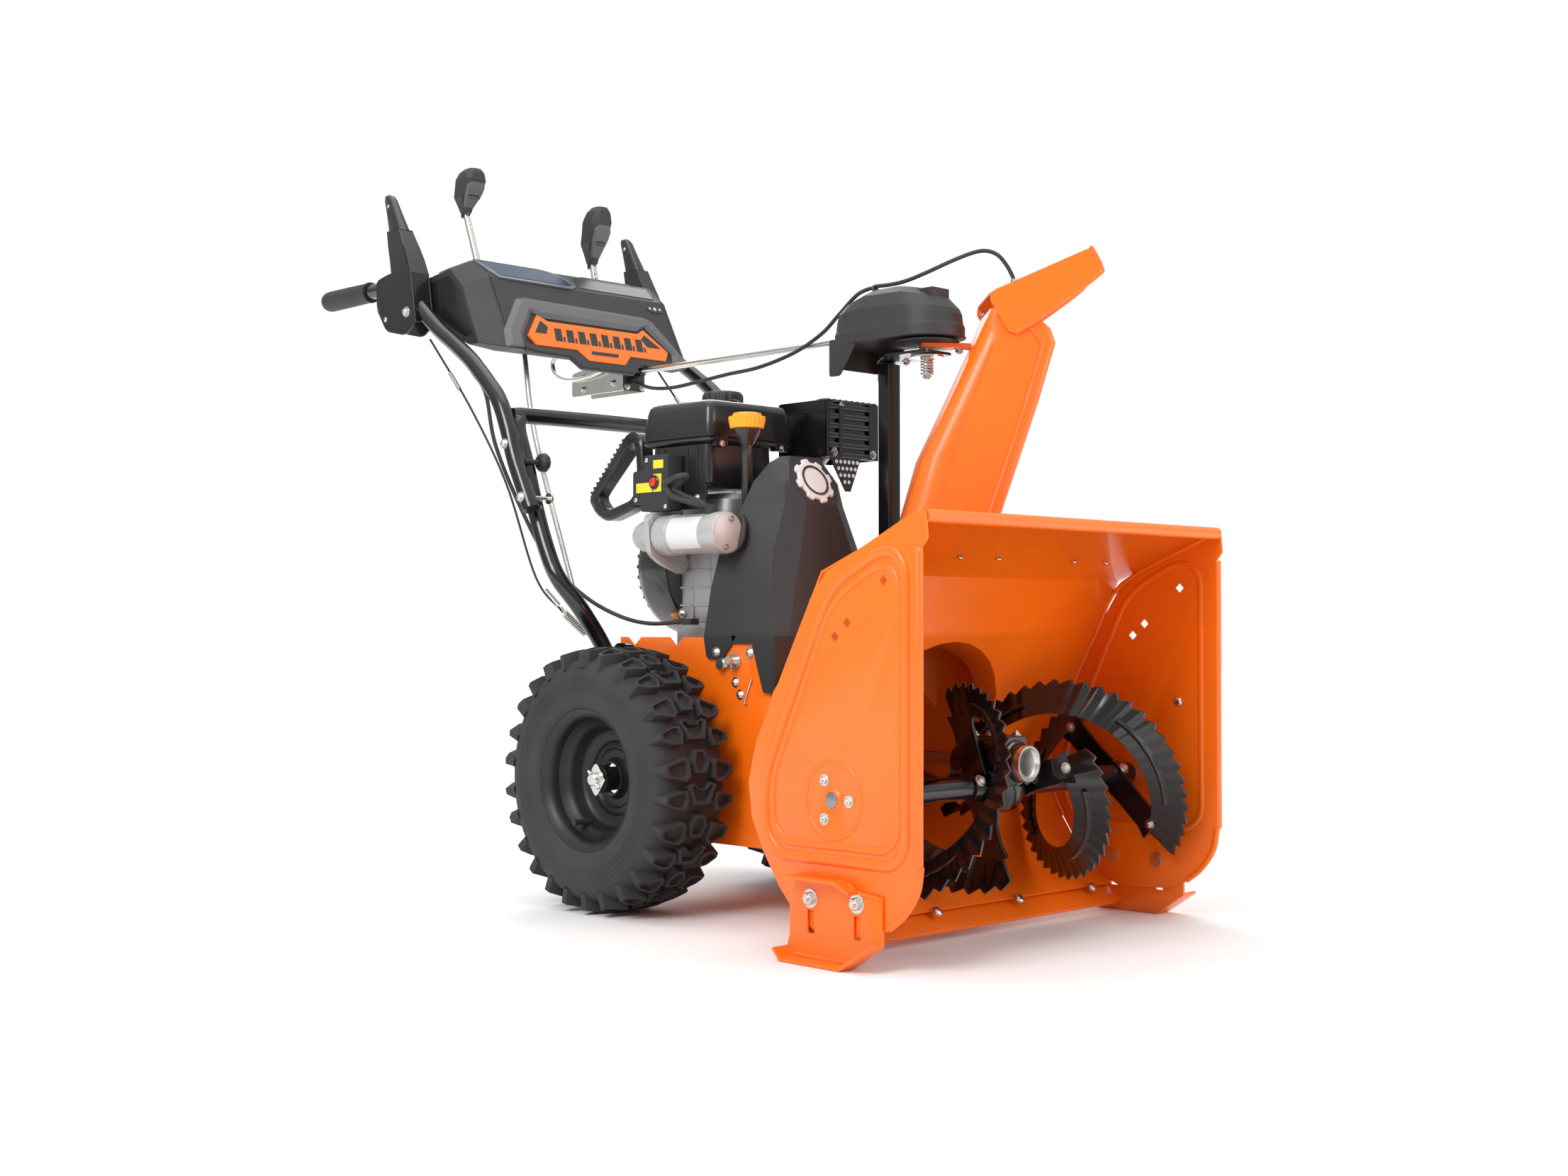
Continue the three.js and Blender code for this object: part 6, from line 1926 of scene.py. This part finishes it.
def make_belt_cover():
    """Thin tapering cover with side legs and a plain medallion."""
    cover = Shape()
    rows = []
    for z, half in COVER_ROWS:
        rows.append(cover_ring(half, z) + cover_ring(half, z - (1.5 if z > 630 else 0), COVER_WALL)[::-1])
    cover.loft(rows)
    top = cover_ring(COVER_ROWS[-1][1], 0)
    cover.loft([[(x, y, z) for x, y, _ in top] for z in (647, 650)])
    for side in (-1, 1):
        a, b = side * 125.5, side * 128.6
        ear = [(-91, 392), (-97, 362), (-102, 358), (-130, 358), (-152, 381), (-160, 392)]
        cover.prism(soft(ear, 3, 3), "x", a, b)
        leg = [(-150, 392), (-152, 380), (-191, 380), (-214, 313), (-236, 312), (-236, 392)]
        cover.prism(leg, "x", a, b)
        cover.block(min(side * 98, b), max(side * 98, b), -237.5, -234.5, 312, 392)
    cover.block(-99, 99, -237.5, -234.5, 312, 392)
    for side in (-1, 1):
        bulge = [
            (side * 118, y, 548 + 34 * math.sin(t))
            for y, t in ((-140, 0.6), (-148, 0.2), (-150, -0.5), (-142, -1.0), (-126, -1.3), (-112, -1.2))
        ]
        cover.tube(
            [(side * (abs(p[0]) - (p[2] - 513) * 0.28 - 4), p[1], p[2] - 6) for p in bulge], 4, 12, 5,
        )
    cover.make("belt_cover", PLASTIC, "chassis", "black_plastic", ["belt_cover"], bevel=2.0, angle=16)
    medal = Shape()
    out = Vector((0, -0.894, 0.447))
    at = Vector((0, -184.4, 613))
    across, up = Vector((1, 0, 0)), Vector((0, 0.447, 0.894))

    def disc(radius_of, heights):
        rows = []
        for share, h in heights:
            row = []
            for i in range(96):
                a = 2 * math.pi * i / 96
                r = radius_of(i) * share
                row.append(at + across * (r * math.cos(a)) + up * (r * math.sin(a)) + out * h)
            rows.append(row)
        return rows

    medal.loft(disc(lambda i: 36 if i % 12 < 6 else 31, [(1.0, -1.5), (1.0, 4.0), (0.95, 5.2)]))
    medal.make("cover_medallion", LABEL_WHITE, "chassis", "black_plastic", bevel=0.5, angle=30)
    ring = Shape()
    ring.turned([(21, 4.6), (24.5, 4.6), (24.5, 6.2), (21, 6.2)], out, at, 64)
    ring.make("cover_medallion_ring", BLACK, "chassis", "black_plastic", bevel=0.3)
    screws = Shape()
    for side in (-1, 1):
        screws.bolt((side * 128.4, -119, 368), (side, 0, 0), 5.4)
        screws.bolt((side * 124.8, -184, 368), (side, 0, 0), 5.4)
        screws.bolt((side * 124.8, -155, 326), (side, 0, 0), 5)
        screws.bolt((side * 124.8, -165, 309), (side, 0, 0), 5)
        screws.rod((side * 124.8, -131, 351), (side * 134, -131, 351), 8, sides=24)
        screws.rod((side * 124.8, -156, 356), (side * 146, -160, 357), 5.5, sides=20)
        screws.rod((side * 124.8, -156, 356), (side * 130, -156.6, 356), 11, sides=24)
        screws.tube([(side * 136, -160, 362), (side * 136, -157, 348), (side * 138, -160, 344)], 1.2, 8, 3)
        screws.tube(
            [
                (side * 126.5, -189, 331), (side * 126.5, -182, 314), (side * 126.5, -175, 298),
                (side * 126.5, -180, 296),
            ],
            1.6, 8, 3,
        )
        screws.prism(
            soft([(-140, 346), (-126, 343), (-122, 352), (-130, 360), (-158, 362), (-158, 352)], 3, 3), "x",
            side * 127, side * 130,
        )
    screws.make("frame_side_hardware", ZINC, "chassis", "zinc", bevel=0.3)


make_belt_cover()


# ---------- frame, skids and the parts below ----------
def make_frame_details():
    """Bottom cover, side fill, bolts and the bearings of the wheel axle."""
    plate = Shape()
    plate.prism(soft([(-118, -226), (118, -226), (118, 84), (-118, 84)], 8, 4), "z", 98.5, 101)
    plate.make("bottom_cover", ORANGE, "chassis", "orange_paint", bevel=0.4)
    sides = Shape()
    for side in (-1, 1):
        fill = [(-172, 300), (-172, 386), (-225, 386), (-225, 300)]
        sides.prism(fill, "x", min(side * 121.5, side * 124.5), max(side * 121.5, side * 124.5))
    sides.make("frame_side_fill", ORANGE, "chassis", "orange_paint", bevel=0.4)
    screws = Shape()
    for x in (-106, 106):
        for y in (-210, -70, 70):
            screws.bolt((x, y, 98.6), (0, 0, -1), 4.5)
    for side in (-1, 1):
        for y, z in ((84, 346), (80, 372), (-8, 320), (60, 140), (-60, 140), (-200, 140), (-226, 270)):
            screws.bolt((side * 125.2, y, z), (side, 0, 0), 5)
        screws.bolt((side * 138.6, 70, 346), (side, 0, 0), 6.4)
        screws.bolt((side * 138.6, 92, 346), (side, 0, 0), 6.4)
    screws.make("frame_bolts", ZINC, "chassis", "zinc", bevel=0.3)
    bearings = Shape()
    for side in (-1, 1):
        bearings.turned(
            [(10.2, 0), (24, 0), (24, 2), (19, 4), (16, 9), (10.2, 9)], (side, 0, 0),
            (side * 124.8, 0, AXLE_Z), 36,
        )
    bearings.make("axle_bearings", STEEL, "chassis", "steel", bevel=0.4)


def make_skid_details():
    """Bolts and pressed ridges of the skids."""
    bolts = Shape()
    ridge = Shape()
    for side in (-1, 1):
        for y in (-488, -565):
            bolts.rod((side * 299, y, 76), (side * 304.4, y, 76), 9.5, sides=24)
        x = side * 311.2
        ridge.tube([(x, -462, 100), (x, -544, 100.4), (x, -567, 89.6), (x, -602, 85.4)], 1.6, 10, 5)
        ridge.tube([(side * 311.8, -560, 6), (side * 311.8, -510, 5), (side * 311.8, -462, 6)], 3.4, 12, 4)
    bolts.make("skid_bolts", ZINC, "chassis", "zinc", bevel=0.3)
    ridge.make("skid_pressings", ORANGE, "chassis", "orange_paint")


def make_impeller_details():
    """Impeller hub, and ribs pressed into the drum's rear wall."""
    hub = Shape()
    hub.turned([(10.2, 0), (24, 0), (24, 26), (18, 30), (10.2, 30)], (0, -1, 0), (0, -262, DRUM_Z), 36)
    hub.make("impeller_hub", BLACK, "impeller_set", "black_paint", bevel=0.6)
    rim = Shape()
    for r in (70, 112):
        rim.turned([(r, 0), (r + 4, 0), (r + 3, 1.8), (r + 1, 1.8)], (0, -1, 0), (0, -239.6, DRUM_Z), 56)
    rim.make("drum_pressings", ORANGE, "chassis", "orange_paint")


make_frame_details()
make_skid_details()
make_impeller_details()

# ---------- cables, springs and rods ----------
CLUTCH_LINE = [(236, 440, 862), (234, 330, 742), (232, 240, 620), (206, 200, 478), (178, 170, 426)]
DEFLECTOR_LINE = [
    (80, 321, 815), (80, 272, 798), (80, 217, 793), (80, 149, 797), (80, 84, 802), (79, 10, 806),
    (76, -70, 820), (74, -130, 842), (72, -168, 866), (72, -206, 891), (76, -238, 899),
]
ARC_LINE = [
    (76, -238, 899), (84, -262, 900), (97, -281, 905), (113, -306, 916), (133, -336, 931), (149, -360, 941),
    (160, -376, 943), (169, -390, 936), (176, -400, 921), (180.6, -407, 905), (182, -409, 896),
]
HARNESS_LINE = [
    (-232, 330, 800), (-226, 303, 764), (-226, 278, 685), (-222, 222, 590), (-200, 178, 505),
    (-172, 130, 452), (-150, 74, 421), (-134, 20, 409), (-110, -30, 412),
]


def make_cables():
    """Control cables, their springs, the lamp harness and the shift rod."""
    for name, side in SIDES.items():
        inner = Shape()
        inner.tube([(side * x, y, z) for x, y, z in CLUTCH_LINE], 1.7, 12, 10)
        inner.make(f"clutch_cable_{name}", RUBBER, "chassis", "cable_sheath", [f"clutch_cable_{name}"])
        spring = Shape()
        spring.coil((side * 177, 169, 425), (side * 154, 146, 394), 5.4, 1.4, 14)
        spring.tube([(side * 177, 169, 425), (side * 178, 170, 430), (side * 180, 172, 434)], 1.6, 8, 3)
        spring.tube([(side * 154, 146, 394), (side * 150, 142, 388), (side * 146, 138, 384)], 1.6, 8, 3)
        spring.rod((side * 182, 174, 436), (side * 196, 190, 460), 3.4, sides=16)
        spring.rod((side * 234.6, 360, 775), (side * 235.2, 385, 803), 3.4, sides=16)
        spring.make(f"clutch_spring_{name}", ZINC, "chassis", "zinc")
    sheath = Shape()
    sheath.tube(DEFLECTOR_LINE, 2.9, 14, 10)
    sheath.rod((80, 322, 815.4), (80, 300, 807), 4.4, 3.6, 20)
    sheath.make("deflector_cable", RUBBER, "chassis", "cable_sheath", ["deflector_cable"], angle=40)
    arc = Shape()
    arc.tube(ARC_LINE, 2.9, 14, 10)
    arc_piece = arc.make(
        "deflector_cable_arc", RUBBER, None, "cable_sheath", ["deflector_cable_arc"], angle=40,
    )
    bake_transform(arc_piece)
    harness = Shape()
    harness.tube(HARNESS_LINE, 3.0, 12, 10)
    harness.block(-116, -100, -50, -28, 407, 416)
    harness.make("lamp_harness", RUBBER, "chassis", "cable_sheath", bevel=0.3)
    link = Shape()
    link.tube([(-118, 350, 846), (-132, 300, 700), (-156, 160, 430)], 3.9, 20, 8)
    link.make("shift_rod", ZINC, "shift_link", "zinc", ["shift_rod"], angle=40)


make_cables()
